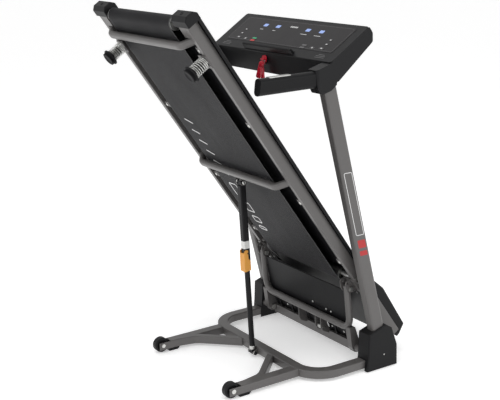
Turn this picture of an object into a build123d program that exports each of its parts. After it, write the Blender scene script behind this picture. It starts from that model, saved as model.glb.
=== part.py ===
from build123d import *
import math
import os

os.makedirs("parts", exist_ok=True)

# A folding treadmill in its stored position. +X is the user's right, +Y the way the user faces,
# +Z up. The origin is on the floor, at the middle of the machine's footprint. Millimetres, degrees.

# --- Places shared by several pieces -----------------------------------------------------------
datum_y = 273.9  # line across the boots that every other Y is counted from
deck_tilt = 56.29  # stored deck above the horizontal
deck_front_y, deck_front_z = 161.0, 32.7  # front end of the deck's walking plane
fold_y, fold_z = -45.0, 60.0  # pivot of the lift frame on the base
incline_along, incline_below = 346.0, 53.0  # pivot of the deck on the lift frame

# --- Base ---------------------------------------------------------------------------------------
tube_width, tube_height, tube_wall, tube_corner = 40.0, 30.0, 2.0, 4.0
base_z = 25.0  # middle height of the base tubes
hoop_x, hoop_rear, hoop_front, hoop_bend = 331.0, -278.0, 56.0, 100.0
leg_x, leg_rear = 247.0, -575.0
wheel_y, wheel_z, wheel_radius, wheel_width = -560.6, 29.0, 28.0, 26.0
pad_height = base_z - tube_height / 2
strut_foot_y, strut_foot_z = -310.0, 18.0

# --- Uprights and boots -------------------------------------------------------------------------
upright_lean = 12.65
upright_x, upright_width, upright_depth = 341.0, 38.0, 51.2
upright_foot_y, upright_foot_z, upright_top_z = 13.9, 45.0, 1074.0
boot_in, boot_out, boot_wall = 308.0, 368.0, 2.5

# --- Deck ---------------------------------------------------------------------------------------
rail_in, rail_out, rail_top, rail_bottom = 285.0, 305.0, 9.0, -30.5
rail_start, rail_end = 72.0, 1492.0
belt_half_width, belt_thick = 210.0, 1.6
roller_radius, roller_height = 22.5, -15.0  # roller axes lie below the walking plane
front_roller_along, rear_roller_along = 365.0, 1490.0
running_gap = 0.3  # between a belt and what turns inside it
shaft_radius, bore_clearance = 8.0, 0.05
foot_rail_start, foot_rail_out, foot_rail_top = 400.0, 319.5, 19.0
strut_head_along, strut_head_below = 803.0, 58.0
cross_tube_below, mid_cross_along, rear_cross_along = 54.0, 837.0, 1435.0
spring_x, spring_along, spring_radius, wire_radius = 280.0, 1361.0, 20.0, 2.0
motor_along, motor_height, motor_radius = 205.0, 9.5, 34.0
pulley_in, pulley_out, motor_pulley_radius, roller_pulley_radius = -220.0, -236.0, 12.0, 21.0
hood_half_width, hood_wall = 300.0, 2.5
actuator_x, actuator_along, actuator_below = 80.0, 145.0, -35.0
actuator_eye_y, actuator_eye_z = -56.0, 84.0

# --- Console ------------------------------------------------------------------------------------
console_half_width, collar_in = 363.0, 316.0
face_rear_y, face_rear_z = -208.0, 1108.0  # user's edge of the sloping face
face_front_y, face_front_z = -50.0, 1209.0
handle_in, handle_out = 323.0, 357.0

deck_along = Vector(0, -math.cos(math.radians(deck_tilt)), math.sin(math.radians(deck_tilt)))
deck_under = Vector(0, -math.sin(math.radians(deck_tilt)), -math.cos(math.radians(deck_tilt)))
deck_front = Vector(0, datum_y + deck_front_y, deck_front_z)
across = Vector(1, 0, 0)


def ahead(distance):
    """Y of a place that lies this far ahead of the boots' line."""
    return datum_y + distance


def deck_point(x, along, below):
    """A place on the deck: across, back from its front end, and below its walking plane."""
    return deck_front + across * x + deck_along * along + deck_under * below


def deck_flat(below=0.0, x=0.0, along=0.0):
    """Plane in the deck: x across, y rearwards, extrudes out of the underside."""
    return Plane(origin=deck_point(x, along, below), x_dir=across, z_dir=deck_under)


def deck_slice(along, x=0.0):
    """Plane square to the deck's length: x across, y upwards, extrudes rearwards."""
    return Plane(origin=deck_point(x, along, 0), x_dir=across, z_dir=deck_along)


def deck_side(x):
    """Plane along the deck seen from the right: x rearwards, y below, extrudes to the right."""
    return Plane(origin=deck_point(x, 0, 0), x_dir=deck_along, z_dir=across)


def side_view(x):
    """Upright plane seen from the right: x ahead of the boots' line, y up, extrudes to the right."""
    return Plane(origin=(x, datum_y, 0), x_dir=(0, 1, 0), z_dir=(1, 0, 0))


def low_x(side, inner, outer):
    """Lower X of a slab between two distances from the middle, on the right (1) or left (-1)."""
    return inner if side > 0 else -outer


def save(piece, name):
    """Labels a finished piece and writes its file."""
    piece.part.label = name
    export_step(piece.part, f"parts/{name}.step")


SIDES = ((-1, "left"), (1, "right"))

# ================================================================================================
# Base: a bent hoop with two rear legs, on rubber pads and transport wheels
# ================================================================================================

with BuildPart() as base_hoop:
    with BuildLine(Plane.XY.offset(base_z)) as hoop_line:
        FilletPolyline(
            (hoop_x, ahead(hoop_front)),
            (hoop_x, ahead(hoop_rear)),
            (-hoop_x, ahead(hoop_rear)),
            (-hoop_x, ahead(hoop_front)),
            radius=hoop_bend,
        )
    with BuildSketch(Plane(origin=(hoop_x, ahead(hoop_front), base_z), x_dir=(1, 0, 0), z_dir=(0, -1, 0))):
        RectangleRounded(tube_width, tube_height, tube_corner)
        RectangleRounded(
            tube_width - 2 * tube_wall,
            tube_height - 2 * tube_wall,
            tube_corner - tube_wall,
            mode=Mode.SUBTRACT,
        )
    sweep(path=hoop_line.wire())
    # Two ears on the rear face take the gas strut's lower pin.
    ear_face = hoop_rear - tube_width / 2
    for x in (-15.0, 11.0):
        with BuildSketch(side_view(x)):
            with BuildLine():
                Polyline(
                    (ear_face + 0.5, strut_foot_z - 8),
                    (strut_foot_y, strut_foot_z - 8),
                    (strut_foot_y - 8, strut_foot_z - 3),
                    (strut_foot_y - 8, strut_foot_z + 3),
                    (strut_foot_y, strut_foot_z + 8),
                    (ear_face + 0.5, strut_foot_z + 14),
                    close=True,
                )
            make_face()
            with Locations((strut_foot_y, strut_foot_z)):
                Circle(5 + bore_clearance, mode=Mode.SUBTRACT)
        extrude(amount=4)
save(base_hoop, "base_hoop")

for side, name in SIDES:
    with BuildPart() as leg:
        leg_plane = Plane(origin=(side * leg_x, ahead(leg_rear), base_z), x_dir=(1, 0, 0), z_dir=(0, 1, 0))
        leg_length = hoop_rear - 7 - leg_rear
        with BuildSketch(leg_plane):
            RectangleRounded(tube_width, tube_height, tube_corner)
        extrude(amount=leg_length)
        with BuildLine(Plane.XY.offset(base_z)) as brace_line:
            FilletPolyline(
                (side * 241, ahead(-500)),
                (side * 224, ahead(-420)),
                (side * 92, ahead(-292)),
                radius=70,
            )
        with BuildSketch(Plane(origin=brace_line.wire() @ 0, x_dir=(0, 0, 1), z_dir=brace_line.wire() % 0)):
            RectangleRounded(tube_height, 25, 3)
        sweep(path=brace_line.wire())
        # Hollow both tubes.
        with BuildSketch(leg_plane):
            Rectangle(tube_width - 2 * tube_wall, tube_height - 2 * tube_wall)
        extrude(amount=leg_length, mode=Mode.SUBTRACT)
        with BuildSketch(Plane(origin=brace_line.wire() @ 0, x_dir=(0, 0, 1), z_dir=brace_line.wire() % 0)):
            Rectangle(tube_height - 2 * tube_wall, 21)
        sweep(path=brace_line.wire(), mode=Mode.SUBTRACT)
        # Cope the front ends to the hoop that they are welded to.
        with BuildSketch(Plane.XY):
            with Locations((side * (hoop_x - hoop_bend), ahead(hoop_rear + hoop_bend))):
                Circle(hoop_bend + tube_width / 2 + 0.05)
            with Locations((0, ahead(hoop_rear))):
                Rectangle(2 * (hoop_x - hoop_bend), tube_width + 0.1)
        extrude(amount=60, mode=Mode.SUBTRACT)
        # Open the rear end into a fork for the wheel, with its axle hole.
        with BuildSketch(Plane.XY):
            with Locations((side * leg_x, ahead(wheel_y))):
                Rectangle(tube_width - 2 * tube_wall, 68)
        extrude(amount=60, mode=Mode.SUBTRACT)
        with BuildSketch(side_view(low_x(side, leg_x - 25, leg_x + 25))):
            with Locations((wheel_y, wheel_z)):
                Circle(5)
        extrude(amount=50, mode=Mode.SUBTRACT)
    save(leg, f"base_leg_{name}")

    wheel_low = low_x(side, leg_x - wheel_width / 2, leg_x + wheel_width / 2)
    with BuildPart() as wheel:
        with BuildSketch(side_view(wheel_low)):
            with Locations((wheel_y, wheel_z)):
                Circle(wheel_radius)
        extrude(amount=wheel_width)
        fillet(wheel.edges().filter_by(GeomType.CIRCLE), 4)
        # Dished faces and a hub that fills the fork.
        for x in (wheel_low - 1, wheel_low + wheel_width - 5):
            with BuildSketch(side_view(x)):
                with Locations((wheel_y, wheel_z)):
                    Circle(wheel_radius - 7)
                    Circle(10, mode=Mode.SUBTRACT)
            extrude(amount=6, mode=Mode.SUBTRACT)
        with BuildSketch(side_view(wheel_low - 4.5)):
            with Locations((wheel_y, wheel_z)):
                Circle(9)
        extrude(amount=wheel_width + 9)
        with BuildSketch(side_view(wheel_low - 5)):
            with Locations((wheel_y, wheel_z)):
                Circle(5 + bore_clearance)
        extrude(amount=wheel_width + 10, mode=Mode.SUBTRACT)
    save(wheel, f"transport_wheel_{name}")

with BuildPart() as wheel_axles:
    for side, name in SIDES:
        axle_low = low_x(side, leg_x - 24, leg_x + 23)
        with BuildSketch(side_view(axle_low)):
            with Locations((wheel_y, wheel_z)):
                Circle(5)
        extrude(amount=47)
        # Domed head outside the fork, nut inside it.
        head_low = low_x(side, leg_x + 20, leg_x + 24)
        with BuildSketch(side_view(head_low)):
            with Locations((wheel_y, wheel_z)):
                Circle(8)
        extrude(amount=4)
        nut_low = low_x(side, leg_x - 25, leg_x - 20)
        with BuildSketch(side_view(nut_low)):
            with Locations((wheel_y, wheel_z)):
                RegularPolygon(8, 6)
        extrude(amount=5)
save(wheel_axles, "wheel_axles")

with BuildPart() as floor_pads:
    for side, name in SIDES:
        # A long wedge-ended pad under each leg and a block under each side rail.
        with BuildSketch(side_view(low_x(side, leg_x - 17, leg_x + 17))):
            with BuildLine():
                Polyline((-540, pad_height), (-533, 0), (-497, 0), (-487, pad_height), close=True)
            make_face()
        extrude(amount=34)
        with BuildSketch(Plane.XY):
            with Locations((side * hoop_x, ahead(35))):
                RectangleRounded(32, 34, 6)
            with Locations((side * hoop_x, ahead(-40))):
                RectangleRounded(32, 24, 6)
        extrude(amount=pad_height)
save(floor_pads, "floor_pads")

# ================================================================================================
# Pivot brackets, fold pivot bolts, uprights and boots
# ================================================================================================

base_top = base_z + tube_height / 2

with BuildPart() as pivot_brackets:
    for side, name in SIDES:
        # Foot plate on the hoop, for the upright, and a cheek plate for the lift frame's bolt.
        with BuildSketch(side_view(low_x(side, 311, 361))):
            with BuildLine():
                Polyline((-57, base_top), (47, base_top), (47, base_top + 4.9), (-57, base_top + 4.9), close=True)
            make_face()
        extrude(amount=50)
        with BuildSketch(side_view(low_x(side, 311.5, 317.5))):
            with BuildLine():
                Polyline(
                    (-57, base_top),
                    (-24, base_top),
                    (-30, fold_z + 14),
                    (-38, fold_z + 20),
                    (-52, fold_z + 20),
                    (-57, fold_z + 12),
                    close=True,
                )
            make_face()
        extrude(amount=6)
        with BuildSketch(side_view(low_x(side, 311, 320))):
            with Locations((fold_y, fold_z)):
                Circle(shaft_radius)
        extrude(amount=9, mode=Mode.SUBTRACT)
save(pivot_brackets, "pivot_brackets")

with BuildPart() as fold_pivot_bolts:
    for side, name in SIDES:
        with BuildSketch(side_view(low_x(side, 245, 325))):
            with Locations((fold_y, fold_z)):
                Circle(shaft_radius)
        extrude(amount=80)
        with BuildSketch(side_view(low_x(side, 245, 251.5))):
            with Locations((fold_y, fold_z)):
                RegularPolygon(10, 6)
        extrude(amount=6.5)
        with BuildSketch(side_view(low_x(side, 317.6, 321.5))):
            with Locations((fold_y, fold_z)):
                RegularPolygon(12.5, 6)
        extrude(amount=3.9)
save(fold_pivot_bolts, "fold_pivot_bolts")


def upright_body(side, grow):
    """Adds an upright's outer shape to the part being built, larger all round by grow."""
    foot = Plane.XY.offset(upright_foot_z - grow)
    shift = grow * math.tan(math.radians(upright_lean))
    with BuildSketch(foot) as section:
        with Locations((side * upright_x, ahead(upright_foot_y + shift))):
            RectangleRounded(upright_width + 2 * grow, upright_depth + 2 * grow, 9 + grow)
    return section.sketch


upright_rise = Vector(
    0, -math.sin(math.radians(upright_lean)), math.cos(math.radians(upright_lean))
)
upright_length = (upright_top_z - upright_foot_z) / math.cos(math.radians(upright_lean))

for side, name in SIDES:
    with BuildPart() as upright:
        extrude(to_extrude=upright_body(side, 0), amount=upright_length, dir=upright_rise)
        extrude(
            to_extrude=upright_body(side, -2), amount=upright_length + 10, dir=upright_rise, mode=Mode.SUBTRACT
        )
    save(upright, f"upright_{name}")

    with BuildPart() as boot:
        boot_outline = ((-69, 2), (68, 2), (68, 77), (45, 145), (18, 162), (-57, 138), (-62, 60))
        with BuildSketch(side_view(low_x(side, boot_in, boot_out))):
            with BuildLine():
                Polyline(*boot_outline, close=True)
            make_face()
        extrude(amount=boot_out - boot_in)
        outer_face = boot.faces().sort_by(Axis.X)[-1 if side > 0 else 0]
        fillet(outer_face.edges().filter_by(lambda e: e.center().Z > 10), 5)
        # Hollow it from below.
        with BuildSketch(side_view(low_x(side, boot_in + boot_wall, boot_out - boot_wall))):
            with BuildLine():
                Polyline(*boot_outline, close=True)
            make_face()
            offset(amount=-boot_wall, mode=Mode.REPLACE)
            with Locations((0, 4)):
                Rectangle(131, 8)
        extrude(amount=boot_out - boot_in - 2 * boot_wall, mode=Mode.SUBTRACT)
        # The upright leaves through the top and the side rail through the back.
        extrude(
            to_extrude=upright_body(side, 0.6), amount=upright_length, dir=upright_rise, mode=Mode.SUBTRACT
        )
        with BuildSketch(side_view(low_x(side, boot_in + 2.6, 351.5))):
            with BuildLine():
                Polyline((-80, 0), (-50, 0), (-50, base_top + 0.5), (-80, base_top + 0.5), close=True)
            make_face()
        extrude(amount=351.5 - boot_in - 2.6, mode=Mode.SUBTRACT)
        # Clearance for the pivot boss on the inner side, screw recess on the outer side.
        with BuildSketch(side_view(low_x(side, boot_in - 1, boot_in + 3.4))):
            with Locations((fold_y, fold_z)):
                Circle(13.5)
        extrude(amount=4.4, mode=Mode.SUBTRACT)
        with BuildSketch(side_view(low_x(side, boot_out - 4, boot_out + 1))):
            with Locations((9, 51)):
                Circle(4)
        extrude(amount=5, mode=Mode.SUBTRACT)
    save(boot, f"boot_{name}")

# ================================================================================================
# Lift frame: the U-shaped frame that carries the deck, and turns on the base when it folds
# ================================================================================================

incline_pivot = deck_point(0, incline_along, incline_below)
lift_corner = Vector(0, ahead(-62), 133)
lift_arm = (incline_pivot - lift_corner).normalized()
lift_arm_length = (incline_pivot - lift_corner).length
lift_arm_x, lift_tube_radius = 265.0, 12.5
guard_half_width = 252.0
lift_plane = Plane(origin=lift_corner, x_dir=across, z_dir=across.cross(lift_arm))

with BuildPart() as lift_frame:
    with BuildLine(lift_plane) as lift_line:
        FilletPolyline(
            (-lift_arm_x, lift_arm_length + 10),
            (-lift_arm_x, 0),
            (lift_arm_x, 0),
            (lift_arm_x, lift_arm_length + 10),
            radius=42,
        )
    with BuildSketch(Plane(origin=lift_line.wire() @ 0, x_dir=across, z_dir=lift_line.wire() % 0)):
        Circle(lift_tube_radius)
    sweep(path=lift_line.wire())
    for side, name in SIDES:
        with BuildSketch(side_view(low_x(side, lift_arm_x - 12.5, lift_arm_x + 12.5))):
            with BuildLine():
                Polyline(
                    (-74, 140),
                    (-64, 64),
                    (-54, 46),
                    (-40, 42),
                    (-24, 42),
                    (-20, 50),
                    (-50, 140),
                    close=True,
                )
            make_face()
        extrude(amount=25)
        with BuildSketch(side_view(low_x(side, lift_arm_x, 310.8))):
            with Locations((fold_y, fold_z)):
                Circle(12)
        extrude(amount=310.8 - lift_arm_x)
        with BuildSketch(side_view(low_x(side, 240, 312))):
            with Locations((fold_y, fold_z)):
                Circle(shaft_radius + bore_clearance)
        extrude(amount=72, mode=Mode.SUBTRACT)
        # Bore for the bolt that the deck tilts on.
        with BuildSketch(deck_side(low_x(side, 245, 285))):
            with Locations((incline_along, incline_below)):
                Circle(6 + bore_clearance)
        extrude(amount=40, mode=Mode.SUBTRACT)
    # Lower cross member, a stiffening rib, and two ears for the incline actuator.
    with BuildSketch(side_view(-lift_arm_x + 6)):
        with Locations((-28, 51)):
            Rectangle(13, 32)
    extrude(amount=2 * lift_arm_x - 12)
    for x in (-44.0, actuator_x - 19, actuator_x + 15):
        with BuildSketch(side_view(x)):
            with BuildLine():
                Polyline(
                    (-70, 125),
                    (-69, 84),
                    (-62, 72),
                    (-34, 58),
                    (-26, 64),
                    (-34, 84),
                    (-52, 128),
                    close=True,
                )
            make_face()
        extrude(amount=4)
    with BuildSketch(side_view(actuator_x - 20)):
        with Locations((actuator_eye_y, actuator_eye_z)):
            Circle(6)
    extrude(amount=40, mode=Mode.SUBTRACT)
save(lift_frame, "lift_frame")

# ================================================================================================
# Deck frame: two box rails, cross tubes and brackets
# ================================================================================================

rail_height = rail_top - rail_bottom
rail_mid = (rail_top + rail_bottom) / 2
board_top, board_thick, board_half_width = 7.3, 18.0, 262.0

for side, name in SIDES:
    with BuildPart() as rail:
        with BuildSketch(deck_slice(rail_start)):
            with Locations((side * (rail_in + rail_out) / 2, rail_mid)):
                RectangleRounded(rail_out - rail_in, rail_height, 2.5)
                RectangleRounded(rail_out - rail_in - 3.2, rail_height - 3.2, 1.0, mode=Mode.SUBTRACT)
        extrude(amount=rail_end - rail_start)
        # Tabs that the running board is screwed to.
        tab_top = board_top - board_thick
        for along in (440, 731, 1078, 1385):
            with BuildSketch(deck_slice(along)):
                with Locations((side * (256 + rail_in) / 2, tab_top - 6.7)):
                    Rectangle(rail_in - 256 + 0.8, 13.3)
            extrude(amount=22)
        # Spring seat and the wide plate that backs the rear roller's bracket.
        with BuildSketch(deck_flat(-rail_bottom)):
            with Locations((side * 281, spring_along)):
                RectangleRounded(44, 48, 4)
        extrude(amount=3)
        with BuildSketch(deck_flat(26.3)):
            with Locations((side * (250 + rail_in) / 2, 1470)):
                Rectangle(rail_in - 250 + 0.6, 40)
        extrude(amount=4)
    save(rail, f"deck_rail_{name}")

with BuildPart() as cross_tubes:
    for along in (mid_cross_along, rear_cross_along):
        with BuildLine(deck_slice(along)) as cross_line:
            FilletPolyline(
                (-300, 0.5),
                (-239, -cross_tube_below),
                (239, -cross_tube_below),
                (300, 0.5),
                radius=32,
            )
        with BuildSketch(Plane(origin=cross_line.wire() @ 0, x_dir=deck_along, z_dir=cross_line.wire() % 0)):
            RectangleRounded(25, 22, 9)
            RectangleRounded(22, 19, 7.5, mode=Mode.SUBTRACT)
        sweep(path=cross_line.wire())
    # Cut the ends flush with the rails that they are welded to.
    split(bisect_by=Plane.YZ.offset(rail_in - 0.05), keep=Keep.BOTTOM)
    split(bisect_by=Plane.YZ.offset(-rail_in + 0.05), keep=Keep.TOP)
save(cross_tubes, "deck_cross_tubes")

with BuildPart() as incline_brackets:
    for side, name in SIDES:
        with BuildSketch(deck_flat(-rail_bottom + 0.05)):
            with Locations((side * (247 + rail_out - 1) / 2, 346)):
                Rectangle(rail_out - 1 - 247, 60)
        extrude(amount=3)
        for inner in (247.5, 279.0):
            with BuildSketch(deck_side(low_x(side, inner, inner + 3.5))):
                with BuildLine():
                    Polyline(
                        (320, 31), (376, 31), (380, 50), (374, 58), (352, 67), (338, 66), (330, 56), close=True
                    )
                make_face()
                with Locations((incline_along, incline_below)):
                    Circle(6, mode=Mode.SUBTRACT)
                with Locations((369, 48)):
                    Circle(4, mode=Mode.SUBTRACT)
            extrude(amount=3.5)
save(incline_brackets, "incline_brackets")

with BuildPart() as incline_bolts:
    for side, name in SIDES:
        with BuildSketch(deck_side(low_x(side, 240, 290))):
            with Locations((incline_along, incline_below)):
                Circle(6)
        extrude(amount=50)
        for inner, thick in ((241.0, 6.4), (282.6, 6.5)):
            with BuildSketch(deck_side(low_x(side, inner, inner + thick))):
                with Locations((incline_along, incline_below)):
                    RegularPolygon(10, 6)
            extrude(amount=thick)
save(incline_bolts, "incline_bolts")

slot_direction = 43.8  # the way the strut's pin leaves its hooked ears, from the deck's length
with BuildPart() as strut_bracket:
    tube_front = mid_cross_along - 12.5
    for x in (-17.5, 13.5):
        with BuildSketch(deck_side(x)):
            with BuildLine():
                Polyline(
                    (tube_front - 0.1, 46),
                    (tube_front - 0.1, 60),
                    (strut_head_along + 10, strut_head_below + 14),
                    (strut_head_along - 5, strut_head_below + 12),
                    (strut_head_along - 12, strut_head_below),
                    (strut_head_along - 8, 46),
                    close=True,
                )
            make_face()
            with Locations(Location((strut_head_along, strut_head_below), slot_direction)):
                SlotCenterPoint((30, 0), (60, 0), 10.5, mode=Mode.SUBTRACT)
        extrude(amount=4)
    with BuildSketch(deck_side(-17.5)):
        with Locations((tube_front - 1.6, 51.5)):
            Rectangle(3, 11)
    extrude(amount=35)
save(strut_bracket, "strut_bracket")

# ================================================================================================
# Running surface: board, belt, rollers and the brackets that hold them
# ================================================================================================

with BuildPart() as running_board:
    with BuildSketch(deck_flat(-board_top)):
        with Locations((0, 925)):
            RectangleRounded(2 * board_half_width, 1040, 8)
    extrude(amount=board_thick)
save(running_board, "running_board")

belt_inner = roller_radius + running_gap
with BuildPart() as walking_belt:
    belt_length = rear_roller_along - front_roller_along
    with BuildSketch(deck_side(-belt_half_width)):
        with Locations(((front_roller_along + rear_roller_along) / 2, -roller_height)):
            SlotCenterToCenter(belt_length, 2 * (belt_inner + belt_thick))
            SlotCenterToCenter(belt_length, 2 * belt_inner, mode=Mode.SUBTRACT)
    extrude(amount=2 * belt_half_width)
save(walking_belt, "walking_belt")

for along, name in ((front_roller_along, "front_roller"), (rear_roller_along, "rear_roller")):
    with BuildPart() as roller:
        with BuildSketch(deck_side(-216)):
            with Locations((along, -roller_height)):
                Circle(roller_radius)
        extrude(amount=432)
        with BuildSketch(deck_side(-282)):
            with Locations((along, -roller_height)):
                Circle(shaft_radius)
        extrude(amount=564)
        if name == "front_roller":
            # Grooved pulley for the drive belt on the left end.
            with BuildSketch(deck_side(pulley_out)):
                with Locations((along, -roller_height)):
                    Circle(roller_pulley_radius)
            extrude(amount=pulley_in - pulley_out)
    save(roller, name)

with BuildPart() as roller_brackets:
    for side, name in SIDES:
        for along in (front_roller_along, rear_roller_along):
            with BuildSketch(deck_side(low_x(side, 266, rail_in - 0.1))):
                with Locations((along, 11)):
                    RectangleRounded(32, 29, 5)
                with Locations((along, -roller_height)):
                    Circle(shaft_radius + bore_clearance, mode=Mode.SUBTRACT)
            extrude(amount=rail_in - 0.1 - 266)
save(roller_brackets, "roller_brackets")

for side, name in SIDES:
    with BuildPart() as foot_rail:
        top, under = foot_rail_top, foot_rail_top - 3
        with BuildSketch(deck_slice(foot_rail_start)):
            with BuildLine():
                Polyline(
                    (side * 228, rail_top + 1.4),
                    (side * 228, top - 3),
                    (side * 236, top),
                    (side * (foot_rail_out - 4), top),
                    (side * foot_rail_out, top - 4),
                    (side * foot_rail_out, 7),
                    (side * (foot_rail_out - 3), 7),
                    (side * (foot_rail_out - 3), under),
                    (side * (rail_out + 1), under),
                    (side * (rail_out + 1), rail_top + 0.1),
                    (side * (rail_out - 2), rail_top + 0.1),
                    (side * (rail_out - 2), under),
                    (side * 231, under),
                    (side * 231, rail_top + 1.4),
                    close=True,
                )
            make_face()
        extrude(amount=rail_end - foot_rail_start)
        # Raised treads across the foot rail keep the shoe from slipping.
        tread_count, tread_pitch = 26, 36
        with BuildSketch(deck_flat(-top)):
            for tread in range(tread_count):
                with Locations((side * 274, foot_rail_start + 75 + tread * tread_pitch)):
                    SlotOverall(62, 6)
        extrude(amount=-0.8)
    save(foot_rail, f"foot_rail_{name}")

    with BuildPart() as end_cap:
        cap_in, cap_out, cap_start, cap_end = 232.0, 320.0, rail_end + 0.3, 1527.0
        with BuildSketch(deck_side(low_x(side, cap_in, cap_out))):
            with BuildLine():
                Polyline(
                    (cap_start, 33),
                    (cap_end - 12, 33),
                    (cap_end, 20),
                    (cap_end, -6),
                    (cap_end - 14, -foot_rail_top),
                    (cap_start, -foot_rail_top),
                    close=True,
                )
            make_face()
        extrude(amount=cap_out - cap_in)
        fillet(end_cap.edges().filter_by(lambda e: (e.center() - deck_front).dot(deck_along) > cap_start + 1), 3)
        # Hollow it from the front.
        with BuildSketch(deck_side(low_x(side, cap_in + 2.5, cap_out - 2.5))):
            with BuildLine():
                Polyline(
                    (cap_start - 1, 30.5),
                    (cap_end - 13, 30.5),
                    (cap_end - 2.5, 19),
                    (cap_end - 2.5, -5),
                    (cap_end - 15, 2.5 - foot_rail_top),
                    (cap_start - 1, 2.5 - foot_rail_top),
                    close=True,
                )
            make_face()
        extrude(amount=cap_out - cap_in - 5, mode=Mode.SUBTRACT)
        # Room for the roller's shaft, and the slot that reaches the belt tension bolt.
        with BuildSketch(deck_side(low_x(side, cap_in - 1, cap_in + 4))):
            with Locations((rear_roller_along, -roller_height)):
                Circle(shaft_radius + 2)
        extrude(amount=5, mode=Mode.SUBTRACT)
        with BuildSketch(deck_slice(cap_end - 4)):
            with Locations((side * 275, -7)):
                SlotOverall(16, 7)
        extrude(amount=6, mode=Mode.SUBTRACT)
    save(end_cap, f"end_cap_{name}")

# ================================================================================================
# Motor bay: tray, motor with flywheel, drive belt, controller, actuator, hood and guard
# ================================================================================================

with BuildPart() as motor_tray:
    with BuildSketch(deck_flat(26.0)):
        with Locations((0, 206)):
            Rectangle(2 * (rail_in - 0.1), 264)
        # Openings for the drive belt and for the actuator.
        with Locations((-228, 316)):
            Rectangle(26, 60, mode=Mode.SUBTRACT)
        with Locations((actuator_x, 146)):
            Rectangle(31.4, 52, mode=Mode.SUBTRACT)
    extrude(amount=2.5)
    # Two ears carry the actuator's upper pin.
    for x in (actuator_x - 20, actuator_x + 16):
        with BuildSketch(deck_side(x)):
            with BuildLine():
                Polyline(
                    (114, 26),
                    (129, 26),
                    (134, -13),
                    (153, -25),
                    (153, -38),
                    (146, -41.5),
                    (134, -40),
                    (122, -12),
                    close=True,
                )
            make_face()
            with Locations((actuator_along, actuator_below)):
                Circle(4 + bore_clearance, mode=Mode.SUBTRACT)
        extrude(amount=4)
save(motor_tray, "motor_tray")

with BuildPart() as motor:
    motor_left, motor_right = -172.0, -25.0
    with BuildSketch(deck_side(motor_left)):
        with Locations((motor_along, -motor_height)):
            Circle(motor_radius)
    extrude(amount=motor_right - motor_left)
    # Steel can between two wider end bells, on a saddle that is bolted to the tray.
    with BuildSketch(deck_side(motor_left + 18)):
        with Locations((motor_along, -motor_height)):
            Circle(motor_radius + 1)
            Circle(motor_radius - 2, mode=Mode.SUBTRACT)
    extrude(amount=motor_right - motor_left - 36, mode=Mode.SUBTRACT)
    with BuildSketch(deck_side(-140)):
        with Locations((motor_along, 22)):
            Rectangle(44, 7.9)
    extrude(amount=84)
    with BuildSketch(deck_side(motor_left)):
        with Locations((motor_along, -motor_height)):
            Circle(6 + bore_clearance)
    extrude(amount=22, mode=Mode.SUBTRACT)
save(motor, "drive_motor")

with BuildPart() as flywheel:
    for low, high, radius in (
        (motor_left + 3, motor_left + 20, 6.0),
        (-214.0, motor_left - 10, 31.0),
        (-190.0, motor_left + 4, 6.0),
        (pulley_out, -213.0, motor_pulley_radius),
        (pulley_out - 8, -230.0, 6.0),
    ):
        with BuildSketch(deck_side(low)):
            with Locations((motor_along, -motor_height)):
                Circle(radius)
        extrude(amount=high - low)
save(flywheel, "flywheel")

with BuildPart() as drive_belt:
    belt_pulleys = (
        (motor_along, -motor_height, motor_pulley_radius),
        (front_roller_along, -roller_height, roller_pulley_radius),
    )
    with BuildSketch(deck_side(pulley_out + 1)):
        for wall, mode in ((3.0 + running_gap, Mode.ADD), (running_gap, Mode.SUBTRACT)):
            with BuildSketch(mode=Mode.PRIVATE) as loop:
                for along, below, radius in belt_pulleys:
                    with Locations((along, below)):
                        Circle(radius + wall)
                make_hull()
            add(loop.sketch, mode=mode)
    extrude(amount=pulley_in - pulley_out - 2)
save(drive_belt, "drive_belt")

with BuildPart() as controller:
    # Board on stand-offs, big parts on it, and a finned heat sink.
    with BuildSketch(deck_flat(8)):
        with Locations((203, 205)):
            RectangleRounded(110, 190, 3)
    extrude(amount=1.6)
    for dx, dy in ((-48, -88), (48, -88), (-48, 88), (48, 88)):
        with BuildSketch(deck_flat(9.5)):
            with Locations((203 + dx, 205 + dy)):
                Circle(4)
        extrude(amount=16.4)
    for dx, dy, radius, height in ((-30, -60, 11, 26), (-2, -60, 11, 26), (26, -62, 8, 18), (32, 10, 6, 14)):
        with BuildSketch(deck_flat(8.2)):
            with Locations((203 + dx, 205 + dy)):
                Circle(radius)
        extrude(amount=-height)
    with BuildSketch(deck_flat(8.2)):
        with Locations((188, 250)):
            Rectangle(70, 88)
        with Locations((188, 250)):
            with GridLocations(8, 0, 8, 1):
                Rectangle(5, 88.2, mode=Mode.SUBTRACT)
    extrude(amount=-30)
    with BuildSketch(deck_flat(8.2)):
        with Locations((188, 250)):
            Rectangle(70, 88)
    extrude(amount=-4)
save(controller, "motor_controller")

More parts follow.
